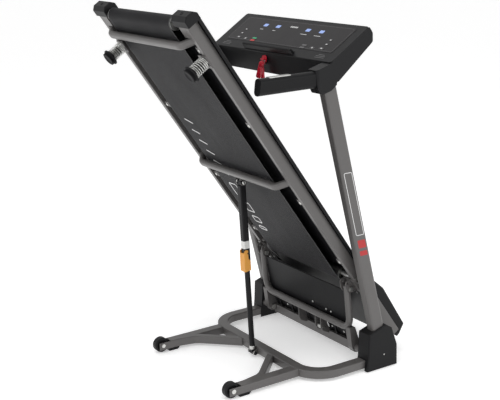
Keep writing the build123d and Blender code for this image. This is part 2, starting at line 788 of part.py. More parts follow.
with BuildPart() as hood:
    with BuildSketch(deck_side(-hood_half_width)):
        with BuildLine():
            Polyline(
                (52, 10),
                (52, -13),
                (66, -42),
                (250, -50),
                (300, -37),
                (396, -22),
                (396, -rail_top - 0.3),
                (66, -rail_top - 0.3),
                (66, 10),
                close=True,
            )
        make_face()
    extrude(amount=2 * hood_half_width)
    crown = hood.edges().filter_by(lambda e: (e.center() - deck_point(0, 250, -50)).length < 5)
    fillet(crown, 30)
    ends = hood.faces().filter_by(Axis.X).edges()
    fillet(ends.filter_by(lambda e: -(e.center() - deck_front).dot(deck_under) > 25), 8)
    with BuildSketch(deck_side(-hood_half_width + hood_wall)):
        with BuildLine():
            Polyline(
                (54.5, 11),
                (54.5, -12.5),
                (68, -39.5),
                (248, -47.3),
                (299, -34),
                (397, -19),
                (397, 11),
                close=True,
            )
        make_face()
    extrude(amount=2 * (hood_half_width - hood_wall), mode=Mode.SUBTRACT)
    # Openings in the nose for the mains inlet and the rocker switch.
    with BuildSketch(deck_slice(50)):
        with Locations((-236, 1)):
            Rectangle(28, 17)
        with Locations((-200, 1)):
            Rectangle(15, 15.6)
    extrude(amount=6, mode=Mode.SUBTRACT)
save(hood, "motor_hood")

with BuildPart() as lift_guard:
    # A moulded panel between the lift frame's arms that reaches down to its lower cross member.
    with BuildSketch(side_view(-guard_half_width)):
        with BuildLine():
            Polyline(
                (-73, 279),
                (-42.5, 128),
                (-17.4, 70),
                (-17.4, 38),
                (-21.4, 38),
                (-21.4, 69),
                (-45.5, 125),
                (-76, 276),
                close=True,
            )
        make_face()
    extrude(amount=2 * guard_half_width)
    # Ribs stiffen its lower half.
    for x in (-205.0, -125.0, 20.0, 150.0, 215.0):
        with BuildSketch(side_view(x)):
            with BuildLine():
                Polyline((-47, 119), (-24, 69.5), (-34, 70), (-41, 83), close=True)
            make_face()
        extrude(amount=3)
    # The upper corners clear the deck's brackets.
    with BuildSketch(side_view(-guard_half_width - 1)):
        with Locations((-70, 270)):
            Rectangle(30, 60)
    extrude(amount=guard_half_width + 1 - 244, mode=Mode.SUBTRACT)
    with BuildSketch(side_view(244)):
        with Locations((-70, 270)):
            Rectangle(30, 60)
    extrude(amount=guard_half_width + 1 - 244, mode=Mode.SUBTRACT)
    # Opening for the actuator and its ears, and slits for the frame's rib.
    with BuildSketch(side_view(actuator_x - 25)):
        with Locations((-36, 107)):
            Rectangle(50, 96)
    extrude(amount=50, mode=Mode.SUBTRACT)
    with BuildSketch(side_view(-45)):
        with Locations((-36, 96)):
            Rectangle(40, 76)
    extrude(amount=6, mode=Mode.SUBTRACT)
save(lift_guard, "lift_guard")

eye = Vector(0, ahead(actuator_eye_y), actuator_eye_z)
actuator_top = deck_point(0, actuator_along, actuator_below)
actuator_reach = (eye - actuator_top).length
actuator_line = (eye - actuator_top).normalized()


def actuator_plane(distance):
    """Plane across the actuator, this far down from its upper pin."""
    return Plane(
        origin=actuator_top + across * actuator_x + actuator_line * distance,
        x_dir=across,
        z_dir=actuator_line,
    )


with BuildPart() as actuator_body:
    with BuildSketch(actuator_plane(12)):
        Circle(14)
    extrude(amount=86.5)
    # Geared motor beside the screw, clear of the ear.
    with BuildSketch(actuator_plane(22)):
        with Locations((34, 0)):
            Circle(12)
    extrude(amount=26)
    with BuildSketch(actuator_plane(28)):
        with Locations((18, 0)):
            Rectangle(16, 16)
    extrude(amount=12)
    with BuildSketch(actuator_plane(-1)):
        Rectangle(14, 13)
    extrude(amount=14)
    with BuildSketch(deck_side(actuator_x - 7)):
        with Locations((actuator_along, actuator_below)):
            Circle(6.5)
    extrude(amount=14)
    with BuildSketch(deck_side(actuator_x - 21)):
        with Locations((actuator_along, actuator_below)):
            Circle(4)
    extrude(amount=42)
    with BuildSketch(actuator_plane(13.2)):
        Circle(7 + bore_clearance)
    extrude(amount=90, mode=Mode.SUBTRACT)
save(actuator_body, "incline_actuator")

with BuildPart() as actuator_rod:
    with BuildSketch(actuator_plane(actuator_reach - 94.5)):
        Circle(7)
    extrude(amount=90)
    with BuildSketch(side_view(actuator_x - 8.5)):
        with Locations((actuator_eye_y, actuator_eye_z)):
            Circle(8.5)
    extrude(amount=17)
    with BuildSketch(side_view(actuator_x - 20)):
        with Locations((actuator_eye_y, actuator_eye_z)):
            Circle(4)
    extrude(amount=40)
save(actuator_rod, "actuator_rod")

with BuildPart() as mains_inlet:
    # Three-pin inlet: a flanged shell with a recess and its pins.
    with BuildSketch(deck_slice(49.8)):
        with Locations((-236, 1)):
            RectangleRounded(36, 20, 2)
    extrude(amount=2)
    with BuildSketch(deck_slice(50.5)):
        with Locations((-236, 1)):
            Rectangle(27, 16)
    extrude(amount=24)
    with BuildSketch(deck_slice(49)):
        with Locations((-236, 1)):
            RectangleRounded(23, 12.5, 2.5)
    extrude(amount=18, mode=Mode.SUBTRACT)
    with BuildSketch(deck_slice(53)):
        with Locations((-243, -1), (-236, 2.5), (-229, -1)):
            Rectangle(2, 4)
    extrude(amount=18)
save(mains_inlet, "mains_inlet")

with BuildPart() as rocker_switch:
    with BuildSketch(deck_side(-206)):
        with Locations((57, -1)):
            Circle(7.4)
        with Locations((49.4, -4.5)):
            Circle(3, mode=Mode.SUBTRACT)
    extrude(amount=12)
save(rocker_switch, "rocker_switch")

with BuildPart() as deck_screws:
    # Screws up through the motor tray.
    with BuildSketch(deck_flat(28.55)):
        for side, name in SIDES:
            for along in (90, 170, 250, 296):
                with Locations((side * 262, along)):
                    Circle(4.5)
    extrude(amount=2)
    # Carriage bolts that hold the roller brackets, seen on the outer faces of the rails.
    for side, name in SIDES:
        for along in (355, 375):
            with BuildSketch(deck_side(low_x(side, rail_out + 0.05, rail_out + 2.5))):
                with Locations((along, 22)):
                    Circle(5)
            extrude(amount=2.45)
save(deck_screws, "deck_screws")

# ================================================================================================
# Rear feet: rubber feet on coil springs under the rails
# ================================================================================================

spring_top, spring_bottom, spring_turns = 35.6, 86.9, 8
for side, name in SIDES:
    with BuildPart() as spring:
        with BuildLine() as coil:
            Helix(
                pitch=(spring_bottom - spring_top) / spring_turns,
                height=spring_bottom - spring_top,
                radius=spring_radius,
                center=deck_point(side * spring_x, spring_along, spring_top),
                direction=deck_under,
            )
        with BuildSketch(Plane(origin=coil.wire() @ 0, z_dir=coil.wire() % 0)):
            Circle(wire_radius)
        sweep(path=coil.wire(), is_frenet=True)
    save(spring, f"foot_spring_{name}")

for side, name in SIDES:
    with BuildPart() as spring_foot:
        with BuildSketch(deck_flat(89, x=side * spring_x, along=spring_along)):
            Circle(28)
        extrude(amount=5)
        with BuildSketch(deck_flat(93.5, x=side * spring_x, along=spring_along)):
            Circle(23)
        extrude(amount=11.5)
        fillet(spring_foot.faces().sort_by(Axis(deck_front, deck_under))[-1].edges(), 4)
        with BuildSketch(deck_flat(48, x=side * spring_x, along=spring_along)):
            Circle(15)
        extrude(amount=42)
    save(spring_foot, f"spring_foot_{name}")

# ================================================================================================
# Gas strut with its release latch
# ================================================================================================

strut_foot = Vector(0, ahead(strut_foot_y), strut_foot_z)
strut_head = deck_point(0, strut_head_along, strut_head_below)
strut_reach = (strut_head - strut_foot).length
strut_line = (strut_head - strut_foot).normalized()
sleeve_length, sleeve_half = 330.0, 12.0


def strut_plane(distance):
    """Plane across the strut, this far up from its lower pin."""
    return Plane(origin=strut_foot + strut_line * distance, x_dir=across, z_dir=strut_line)


def strut_side(x):
    """Plane along the strut seen from the right: x up the strut, y towards the back."""
    return Plane(origin=strut_foot + across * x, x_dir=strut_line, z_dir=across)


with BuildPart() as strut_tube:
    with BuildSketch(strut_plane(16)):
        Circle(10)
    extrude(amount=354)
    with BuildSketch(strut_plane(2)):
        Rectangle(16, 14)
    extrude(amount=15)
    with BuildSketch(strut_side(-9)):
        Circle(8)
    extrude(amount=18)
    with BuildSketch(strut_side(-19)):
        Circle(5)
    extrude(amount=38)
    for x in (-21.0, 15.3):
        with BuildSketch(strut_side(x)):
            RegularPolygon(8, 6)
        extrude(amount=5.5)
save(strut_tube, "strut_tube")

sleeve_low = strut_reach - sleeve_length
with BuildPart() as strut_sleeve:
    with BuildSketch(strut_plane(sleeve_low)):
        RectangleRounded(2 * sleeve_half, 2 * sleeve_half, 4)
    extrude(amount=sleeve_length - 13)
    with BuildSketch(strut_plane(sleeve_low - 1)):
        Circle(10 + bore_clearance)
    extrude(amount=sleeve_length - 20, mode=Mode.SUBTRACT)
    with BuildSketch(strut_plane(strut_reach - 14)):
        Rectangle(2 * sleeve_half - 2, 15)
    extrude(amount=12)
    with BuildSketch(strut_side(1 - sleeve_half)):
        with Locations((strut_reach, 0)):
            Circle(8.5)
    extrude(amount=2 * sleeve_half - 2)
    with BuildSketch(strut_side(-21)):
        with Locations((strut_reach, 0)):
            Circle(4.5)
    extrude(amount=42)
    # Studs that the latch turns on.
    latch_pivot = sleeve_low + 66
    for x in (-15.2, sleeve_half - 0.4):
        with BuildSketch(strut_side(x)):
            with Locations((latch_pivot, 0)):
                Circle(3.5)
        extrude(amount=3.6)
save(strut_sleeve, "strut_sleeve")

with BuildPart() as strut_latch:
    # A channel that straddles the sleeve's lower end and is pinned on the sleeve's studs.
    with BuildSketch(strut_side(-sleeve_half - 3.2)):
        with BuildLine():
            Polyline(
                (sleeve_low + 2, -8),
                (sleeve_low + 40, -8),
                (sleeve_low + 44, 0),
                (sleeve_low + 78, 0),
                (sleeve_low + 80, 8),
                (sleeve_low + 74, 16),
                (sleeve_low + 30, 17),
                (sleeve_low - 2, 17),
                close=True,
            )
        make_face()
        with Locations((latch_pivot, 0)):
            Circle(3.5 + 0.08, mode=Mode.SUBTRACT)
    extrude(amount=2 * sleeve_half + 6.4)
    with BuildSketch(strut_side(-sleeve_half - 0.3)):
        with BuildLine():
            Polyline(
                (sleeve_low - 4, 14),
                (latch_pivot + 2, 14),
                (latch_pivot + 2, 20),
                (sleeve_low + 90, 20),
                (sleeve_low + 90, -12),
                (sleeve_low - 4, -12),
                close=True,
            )
        make_face()
    extrude(amount=2 * sleeve_half + 0.6, mode=Mode.SUBTRACT)
save(strut_latch, "strut_latch")

# ================================================================================================
# Console: housing with collars, cover, overlay, keys, rack, crossbar, key and clip
# ================================================================================================

face_rise = Vector(0, face_front_y - face_rear_y, face_front_z - face_rear_z)
face_length = face_rise.length
cover_thick, overlay_thick = 4.0, 0.8


def console_plane(above=0.0):
    """Plane of the console's face: x across, y up the slope, extrudes towards the user."""
    origin = Vector(0, ahead(face_rear_y), face_rear_z)
    square = across.cross(face_rise).normalized()
    return Plane(origin=origin + square * (above - cover_thick), x_dir=across, z_dir=square)


with BuildPart() as console_housing:
    housing_profile = (
        (-206, 1104.4),
        (-48, 1205.4),
        (-29, 1180),
        (-31, 1162),
        (-175, 1045),
        (-200, 1036),
        (-204, 1038),
    )
    with BuildSketch(side_view(-console_half_width)):
        with BuildLine():
            Polyline(*housing_profile, close=True)
        make_face()
    extrude(amount=2 * console_half_width)
    for side, name in SIDES:
        with BuildSketch(side_view(low_x(side, collar_in, console_half_width))):
            with BuildLine():
                Polyline(
                    (-184, 1034),
                    (-205, 1018),
                    (-235, 1010),
                    (-250, 1012),
                    (-258, 1028),
                    (-263, 1088),
                    (-207, 1104),
                    (-170, 1110),
                    close=True,
                )
            make_face()
        extrude(amount=console_half_width - collar_in)
    # Round the upright corners.
    with BuildSketch(Plane.XY.offset(1000)):
        with Locations((0, ahead(-146))):
            RectangleRounded(2 * console_half_width, 236, 14)
    extrude(amount=220, mode=Mode.INTERSECT)
    # Hollow the housing between the collars; the sloping side stays open under its cover.
    with BuildSketch(side_view(-300)):
        with BuildLine():
            Polyline(
                (-203, 1112),
                (-56.4, 1211.8),
                (-32.2, 1179.3),
                (-34, 1163.5),
                (-176, 1048.4),
                (-199, 1040),
                (-201.2, 1042),
                close=True,
            )
        make_face()
    extrude(amount=600, mode=Mode.SUBTRACT)
    # Sockets for the uprights, the handles and the crossbar, and the safety key's hole.
    for side, name in SIDES:
        extrude(
            to_extrude=upright_body(side, 0.3), amount=upright_length + 1, dir=upright_rise, mode=Mode.SUBTRACT
        )
        with BuildSketch(Plane(origin=(0, ahead(-270), 0), x_dir=(-1, 0, 0), z_dir=(0, 1, 0))):
            with Locations((-side * 340, 1057)):
                RectangleRounded(34.4, 54.4, 14)
        extrude(amount=15.4, mode=Mode.SUBTRACT)
    with BuildSketch(side_view(-322.3)):
        with Locations((-191, 1060)):
            Rectangle(24.4, 24.4)
    extrude(amount=644.6, mode=Mode.SUBTRACT)
    with BuildSketch(Plane(origin=(-15, ahead(-220), 1085), x_dir=(1, 0, 0), z_dir=(0, -1, 0))):
        Circle(4.05)
    extrude(amount=-30, mode=Mode.SUBTRACT)
save(console_housing, "console_housing")

with BuildPart() as console_cover:
    with BuildSketch(console_plane()):
        with Locations((0, face_length / 2)):
            RectangleRounded(2 * console_half_width, face_length, 12)
    extrude(amount=cover_thick)
    fillet(console_cover.faces().sort_by(Axis((0, 0, 0), console_plane().z_dir))[-1].edges(), 2.5)
save(console_cover, "console_cover")

with BuildPart() as display_overlay:
    with BuildSketch(console_plane(cover_thick)):
        with Locations((0, 106)):
            RectangleRounded(644, 128, 10)
    extrude(amount=overlay_thick)
save(display_overlay, "display_overlay")

with BuildPart() as reading_rack:
    # A ledge across the foot of the face that holds a book or a tablet.
    with BuildSketch(Plane(origin=console_plane(cover_thick).origin, x_dir=face_rise, z_dir=across)):
        with BuildLine():
            Polyline((5, 0), (6, 18), (8, 22), (12, 23), (16, 18), (20, 4), (27, 0), close=True)
        make_face()
    extrude(amount=155, both=True)
    for side, name in SIDES:
        with BuildSketch(console_plane(cover_thick - 1)):
            with BuildLine():
                Polyline((side * 160, 0), (side * 160, 40), (side * 124, 40), (side * 154, 0), close=True)
            make_face()
        extrude(amount=30, mode=Mode.SUBTRACT)
save(reading_rack, "reading_rack")

with BuildPart() as console_keys:
    with BuildSketch(console_plane(cover_thick + overlay_thick)):
        for side, name in SIDES:
            with Locations((side * 252, 56), (side * 204, 53)):
                RectangleRounded(24, 9, 3)
            with Locations((side * 152, 60), (side * 152, 48)):
                RectangleRounded(26, 8, 3)
            with Locations((side * 255, 100), (side * 256, 78)):
                RectangleRounded(14, 9, 3)
    extrude(amount=0.7)
save(console_keys, "console_keys")

with BuildPart() as console_crossbar:
    with BuildSketch(side_view(-321.9)):
        with Locations((-191, 1060)):
            RectangleRounded(24, 24, 3)
            RectangleRounded(20, 20, 1, mode=Mode.SUBTRACT)
    extrude(amount=643.8)
save(console_crossbar, "console_crossbar")

with BuildPart() as safety_key:
    key_plane = Plane(origin=(-15, ahead(-207.2), 1085), x_dir=(1, 0, 0), z_dir=(0, -1, 0))
    with BuildSketch(key_plane):
        Circle(13)
    extrude(amount=5)
    with BuildSketch(key_plane):
        Circle(4)
    extrude(amount=-16)
    with BuildSketch(key_plane.offset(4)):
        SlotOverall(20, 6)
    extrude(amount=9)
    with BuildSketch(key_plane.offset(0.5)):
        with Locations((0, -15)):
            Rectangle(7, 8)
            with Locations((0, -1)):
                Circle(1.6, mode=Mode.SUBTRACT)
    extrude(amount=3)
save(safety_key, "safety_key")

with BuildPart() as safety_clip:
    # Two lobed jaws that close on clothing, hung from the key.
    clip_plane = Plane(origin=(-15, ahead(-208.6), 1066), x_dir=(1, 0, 0), z_dir=(0, -1, 0))
    for lean, above in ((13, 0), (-13, 3.1)):
        with BuildSketch(clip_plane.offset(above)):
            with Locations(Location((0, -30), lean)):
                Ellipse(8, 25)
                with Locations((0, -14)):
                    Circle(9.5)
            with Locations((0, -9)):
                Circle(2, mode=Mode.SUBTRACT)
        extrude(amount=3)
    with BuildSketch(clip_plane.offset(2.9)):
        with Locations((0, -24)):
            Circle(3)
    extrude(amount=0.4)
    with BuildSketch(clip_plane.offset(-0.5)):
        with Locations((0, -2.2)):
            Rectangle(4, 4)
    extrude(amount=3)
save(safety_clip, "safety_clip")

# ================================================================================================
# Handles with pulse plates and end caps
# ================================================================================================

handle_low, handle_high, handle_seam, handle_rear = 1030.0, 1084.0, -463.0, -478.0
handle_middle = (handle_low + handle_high) / 2
plate_y, plate_width, plate_length, plate_seat = -393.5, 22.0, 83.0, 1.2

for side, name in SIDES:
    with BuildPart() as handle:
        with BuildSketch(Plane(origin=(0, ahead(handle_seam), 0), x_dir=(-1, 0, 0), z_dir=(0, 1, 0))):
            with Locations((-side * 340, handle_middle)):
                RectangleRounded(handle_out - handle_in, handle_high - handle_low, 13.5)
        extrude(amount=-255 - handle_seam)
        # Shallow seat for the pulse plate.
        with BuildSketch(Plane.XY.offset(handle_high - plate_seat)):
            with Locations((side * 340, ahead(plate_y))):
                RectangleRounded(plate_width + 0.3, plate_length + 0.3, 4.1)
        extrude(amount=5, mode=Mode.SUBTRACT)
    save(handle, f"handle_{name}")

with BuildPart() as handle_end_caps:
    for side, name in SIDES:
        with BuildSketch(Plane(origin=(0, ahead(handle_rear), 0), x_dir=(-1, 0, 0), z_dir=(0, 1, 0))):
            with Locations((-side * 340, handle_middle)):
                RectangleRounded(handle_out - handle_in, handle_high - handle_low, 13.5)
        extrude(amount=handle_seam - handle_rear - 0.2)
    # Slant the rear ends.
    with BuildSketch(side_view(-400)):
        with BuildLine():
            Polyline(
                (handle_rear - 5, handle_high + 5),
                (handle_rear + 9, handle_high + 5),
                (handle_rear, handle_low - 5),
                (handle_rear - 5, handle_low - 5),
                close=True,
            )
        make_face()
    extrude(amount=800, mode=Mode.SUBTRACT)
save(handle_end_caps, "handle_end_caps")

with BuildPart() as pulse_plates:
    with BuildSketch(Plane.XY.offset(handle_high - plate_seat + 0.05)):
        for side, name in SIDES:
            with Locations((side * 340, ahead(plate_y))):
                RectangleRounded(plate_width, plate_length, 4)
    extrude(amount=2.2)
save(pulse_plates, "pulse_plates")
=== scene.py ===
import bmesh
import bpy
import math
import numpy as np
from mathutils import Matrix, Vector


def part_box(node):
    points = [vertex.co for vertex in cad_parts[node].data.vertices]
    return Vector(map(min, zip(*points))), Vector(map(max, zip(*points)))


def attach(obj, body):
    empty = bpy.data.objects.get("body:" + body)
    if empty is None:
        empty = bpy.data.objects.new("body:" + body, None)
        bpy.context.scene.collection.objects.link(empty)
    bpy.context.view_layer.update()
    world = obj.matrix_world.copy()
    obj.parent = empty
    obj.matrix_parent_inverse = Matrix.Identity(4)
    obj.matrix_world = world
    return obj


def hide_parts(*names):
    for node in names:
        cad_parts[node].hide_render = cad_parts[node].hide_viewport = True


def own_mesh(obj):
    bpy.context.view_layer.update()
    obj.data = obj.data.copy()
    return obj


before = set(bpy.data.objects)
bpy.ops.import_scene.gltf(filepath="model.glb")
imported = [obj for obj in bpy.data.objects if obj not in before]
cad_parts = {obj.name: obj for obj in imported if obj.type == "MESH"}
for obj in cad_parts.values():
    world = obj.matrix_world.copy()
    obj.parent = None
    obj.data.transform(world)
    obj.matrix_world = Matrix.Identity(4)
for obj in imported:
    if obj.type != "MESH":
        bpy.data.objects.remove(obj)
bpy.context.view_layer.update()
both_sides = ((-1, "left"), (1, "right"))

# --- Camera and room ----------------------------------------------------------------------------
# The machine stands alone on a plain white studio floor, seen from behind its right rear corner.
# Light is soft and comes mostly from above, with a weaker panel on either side.

camera_place = Vector((3.1318, -2.0190, 1.5997))
camera_turn, camera_rise, camera_roll = (math.radians(a) for a in (58.956, 15.773, -2.3825))
toward_camera = Vector(
    (
        math.sin(camera_turn) * math.cos(camera_rise),
        -math.cos(camera_turn) * math.cos(camera_rise),
        math.sin(camera_rise),
    )
)
level_right = Vector((math.cos(camera_turn), math.sin(camera_turn), 0))
level_up = toward_camera.cross(level_right)
view_right = level_right * math.cos(camera_roll) + level_up * math.sin(camera_roll)
view_up = level_up * math.cos(camera_roll) - level_right * math.sin(camera_roll)

camera_data = bpy.data.cameras.new("studio_camera")
camera_data.sensor_width = 36.0
camera_data.lens = 78.07
camera_data.shift_x = 0.0518
camera_data.shift_y = 0.0261
camera_data.clip_end = 200.0
camera = bpy.data.objects.new("studio_camera", camera_data)
bpy.context.scene.collection.objects.link(camera)
camera.matrix_world = Matrix.Translation(camera_place) @ Matrix(
    (view_right, view_up, toward_camera)
).transposed().to_4x4()
bpy.context.scene.camera = camera

bpy.context.scene.view_settings.view_transform = "Standard"
room = bpy.data.worlds.new("white_room")
room.use_nodes = True
room.node_tree.nodes["Background"].inputs["Color"].default_value = (1.0, 1.0, 1.0, 1.0)
room.node_tree.nodes["Background"].inputs["Strength"].default_value = 0.66
bpy.context.scene.world = room


def panel_light(name, place, aim, size, watts):
    """A square soft box at a place, turned to face a point."""
    data = bpy.data.lights.new(name, "AREA")
    data.size = size
    data.energy = watts
    light = bpy.data.objects.new(name, data)
    bpy.context.scene.collection.objects.link(light)
    direction = Vector(aim) - Vector(place)
    light.matrix_world = Matrix.Translation(place) @ direction.to_track_quat("-Z", "Y").to_matrix().to_4x4()


panel_light("overhead_panel", (0.6, -0.6, 3.6), (0, 0, 0.4), 2.4, 46)
panel_light("left_panel", (-0.6, -3.6, 1.9), (0, 0, 0.7), 1.8, 20)
panel_light("right_panel", (3.4, 1.4, 1.8), (0.2, 0, 0.7), 1.6, 20)

floor_size = 60.0
floor_mesh = bpy.data.meshes.new("studio_floor")
floor_mesh.from_pydata(
    [(x * floor_size, y * floor_size, -0.0005) for x, y in ((-1, -1), (1, -1), (1, 1), (-1, 1))],
    [],
    [(0, 1, 2, 3)],
)
floor = bpy.data.objects.new("studio_floor", floor_mesh)
bpy.context.scene.collection.objects.link(floor)
floor_paint = bpy.data.materials.new("floor_paint")
floor_paint.use_nodes = True
floor_shader = floor_paint.node_tree.nodes["Principled BSDF"]
floor_shader.inputs["Base Color"].default_value = (0.95, 0.95, 0.95, 1.0)
floor_shader.inputs["Roughness"].default_value = 0.7
floor_shader.inputs["Emission Color"].default_value = (1.0, 1.0, 1.0, 1.0)
floor_shader.inputs["Emission Strength"].default_value = 0.36
floor_mesh.materials.append(floor_paint)

# --- Base hoop and legs -------------------------------------------------------------------------
# Rectangular steel tube, bent to a hoop, with two legs and their braces welded behind it. The whole
# base is powder coated in satin grey, which leaves a faint pebbled skin and gathers a little dust.


def shader_group(name, inputs, outputs):
    """An empty shader node group with named sockets, and its entry and exit nodes."""
    group = bpy.data.node_groups.new(name, "ShaderNodeTree")
    for label, kind, value in inputs:
        socket = group.interface.new_socket(name=label, in_out="INPUT", socket_type=kind)
        if value is not None:
            socket.default_value = value
    for label, kind in outputs:
        group.interface.new_socket(name=label, in_out="OUTPUT", socket_type=kind)
    return group, group.nodes.new("NodeGroupInput"), group.nodes.new("NodeGroupOutput")


def wire(tree, *pairs):
    """Joins output sockets to input sockets, pair by pair."""
    for source, target in pairs:
        tree.links.new(source, target)


def remap(tree, source, low, high, to_low, to_high):
    """A Map Range node fed by a socket; returns its result."""
    node = tree.nodes.new("ShaderNodeMapRange")
    for label, value in (("From Min", low), ("From Max", high), ("To Min", to_low), ("To Max", to_high)):
        node.inputs[label].default_value = value
    tree.links.new(source, node.inputs["Value"])
    return node.outputs["Result"]


def arithmetic(tree, operation, first, second):
    """A Math node; each side is a socket or a number."""
    node = tree.nodes.new("ShaderNodeMath")
    node.operation = operation
    for socket, value in zip(node.inputs, (first, second)):
        if isinstance(value, (int, float)):
            socket.default_value = value
        else:
            tree.links.new(value, socket)
    return node.outputs["Value"]


uneven, enter, leave = shader_group(
    "uneven_colour",
    (
        ("Color", "NodeSocketColor", (0.5, 0.5, 0.5, 1.0)),
        ("Amount", "NodeSocketFloat", 0.1),
        ("Scale", "NodeSocketFloat", 6.0),
    ),
    (("Color", "NodeSocketColor"),),
)
place = uneven.nodes.new("ShaderNodeTexCoord")
cloud = uneven.nodes.new("ShaderNodeTexNoise")
cloud.inputs["Detail"].default_value = 4.0
lift = uneven.nodes.new("ShaderNodeVectorMath")
lift.operation = "SCALE"
centred = arithmetic(uneven, "SUBTRACT", cloud.outputs["Fac"], 0.5)
swing = arithmetic(uneven, "MULTIPLY", centred, enter.outputs["Amount"])
gain = arithmetic(uneven, "MULTIPLY_ADD", swing, 2.0)
gain.node.inputs[2].default_value = 1.0
wire(
    uneven,
    (place.outputs["Object"], cloud.inputs["Vector"]),
    (enter.outputs["Scale"], cloud.inputs["Scale"]),
    (enter.outputs["Color"], lift.inputs["Vector"]),
    (gain, lift.inputs["Scale"]),
    (lift.outputs["Vector"], leave.inputs["Color"]),
)

dusty, enter, leave = shader_group(
    "settled_dust",
    (("Color", "NodeSocketColor", (0.5, 0.5, 0.5, 1.0)), ("Amount", "NodeSocketFloat", 0.1)),
    (("Color", "NodeSocketColor"), ("Mask", "NodeSocketFloat")),
)
facing = dusty.nodes.new("ShaderNodeNewGeometry")
upright_part = dusty.nodes.new("ShaderNodeSeparateXYZ")
place = dusty.nodes.new("ShaderNodeTexCoord")
specks = dusty.nodes.new("ShaderNodeTexNoise")
specks.inputs["Scale"].default_value = 35.0
specks.inputs["Detail"].default_value = 6.0
film = dusty.nodes.new("ShaderNodeMix")
film.data_type = "RGBA"
film.inputs["B"].default_value = (0.36, 0.35, 0.33, 1.0)
wire(
    dusty,
    (facing.outputs["Normal"], upright_part.inputs["Vector"]),
    (place.outputs["Object"], specks.inputs["Vector"]),
)
up_mask = remap(dusty, upright_part.outputs["Z"], 0.55, 1.0, 0.0, 1.0)
speck_mask = remap(dusty, specks.outputs["Fac"], 0.35, 0.75, 0.2, 1.0)
patchy_mask = arithmetic(dusty, "MULTIPLY", up_mask, speck_mask)
dust_mask = arithmetic(dusty, "MULTIPLY", patchy_mask, enter.outputs["Amount"])
wire(
    dusty,
    (enter.outputs["Color"], film.inputs["A"]),
    (dust_mask, film.inputs["Factor"]),
    (film.outputs["Result"], leave.inputs["Color"]),
    (dust_mask, leave.inputs["Mask"]),
)

rubbed, enter, leave = shader_group(
    "rubbed_roughness",
    (
        ("Roughness", "NodeSocketFloat", 0.4),
        ("Amount", "NodeSocketFloat", 0.1),
        ("Scale", "NodeSocketFloat", 14.0),
    ),
    (("Roughness", "NodeSocketFloat"),),
)
place = rubbed.nodes.new("ShaderNodeTexCoord")
drawn_out = rubbed.nodes.new("ShaderNodeMapping")
drawn_out.inputs["Scale"].default_value = (1.0, 0.35, 0.35)
smears = rubbed.nodes.new("ShaderNodeTexNoise")
smears.inputs["Detail"].default_value = 8.0
smears.inputs["Roughness"].default_value = 0.65
wire(
    rubbed,
    (place.outputs["Object"], drawn_out.inputs["Vector"]),
    (drawn_out.outputs["Vector"], smears.inputs["Vector"]),
    (enter.outputs["Scale"], smears.inputs["Scale"]),
)
centred = arithmetic(rubbed, "SUBTRACT", smears.outputs["Fac"], 0.5)
spread = arithmetic(rubbed, "MULTIPLY", centred, enter.outputs["Amount"])
streaked = arithmetic(rubbed, "MULTIPLY_ADD", spread, 2.0)
wire(
    rubbed,
    (enter.outputs["Roughness"], streaked.node.inputs[2]),
    (streaked, leave.inputs["Roughness"]),
)

pebbled, enter, leave = shader_group(
    "pebbled_skin",
    (("Pitch", "NodeSocketFloat", 700.0), ("Cells", "NodeSocketFloat", 0.5)),
    (("Height", "NodeSocketFloat"),),
)
place = pebbled.nodes.new("ShaderNodeTexCoord")
ripple = pebbled.nodes.new("ShaderNodeTexNoise")
ripple.inputs["Detail"].default_value = 2.0
cells = pebbled.nodes.new("ShaderNodeTexVoronoi")
skin_mix = pebbled.nodes.new("ShaderNodeMix")
wire(
    pebbled,
    (place.outputs["Object"], ripple.inputs["Vector"]),
    (place.outputs["Object"], cells.inputs["Vector"]),
    (enter.outputs["Pitch"], ripple.inputs["Scale"]),
    (enter.outputs["Pitch"], cells.inputs["Scale"]),
    (enter.outputs["Cells"], skin_mix.inputs["Factor"]),
    (ripple.outputs["Fac"], skin_mix.inputs["A"]),
    (cells.outputs["Distance"], skin_mix.inputs["B"]),
    (skin_mix.outputs["Result"], leave.inputs["Height"]),
)


def use_group(tree, group, **values):
    """Places a node group in a material and sets its named values."""
    node = tree.nodes.new("ShaderNodeGroup")
    node.node_tree = group
    for label, value in values.items():
        node.inputs[label].default_value = value
    return node


def finish(
    name, colour, roughness, metallic=0.0, mottle=0.08, mottle_scale=6.0, rub=0.06, pitch=700.0,
    cells=0.3, relief=0.00002, dust=0.12, coat=0.0, specular=0.5,
):
    """A material built from the shared effects: uneven colour under settled dust, roughness rubbed in
    streaks, and a pebbled skin whose relief is given in metres."""
    made = bpy.data.materials.new(name)
    made.use_nodes = True
    tree = made.node_tree
    shader = tree.nodes["Principled BSDF"]
    shader.inputs["Metallic"].default_value = metallic
    shader.inputs["Coat Weight"].default_value = coat
    shader.inputs["Specular IOR Level"].default_value = specular
    tint = use_group(tree, uneven, Color=(*colour, 1.0), Amount=mottle, Scale=mottle_scale)
    film = use_group(tree, dusty, Amount=dust)
    gloss = use_group(tree, rubbed, Roughness=roughness, Amount=rub)
    skin = use_group(tree, pebbled, Pitch=pitch, Cells=cells)
    bump = tree.nodes.new("ShaderNodeBump")
    bump.inputs["Distance"].default_value = relief
    dulled = arithmetic(tree, "ADD", gloss.outputs["Roughness"], film.outputs["Mask"])
    wire(
        tree,
        (tint.outputs["Color"], film.inputs["Color"]),
        (film.outputs["Color"], shader.inputs["Base Color"]),
        (dulled, shader.inputs["Roughness"]),
        (skin.outputs["Height"], bump.inputs["Height"]),
        (bump.outputs["Normal"], shader.inputs["Normal"]),
    )
    return made


def dress(material, *names):
    """Gives CAD nodes their finished material."""
    for name in names:
        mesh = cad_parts[name].data
        mesh.materials.clear()
        mesh.materials.append(material)


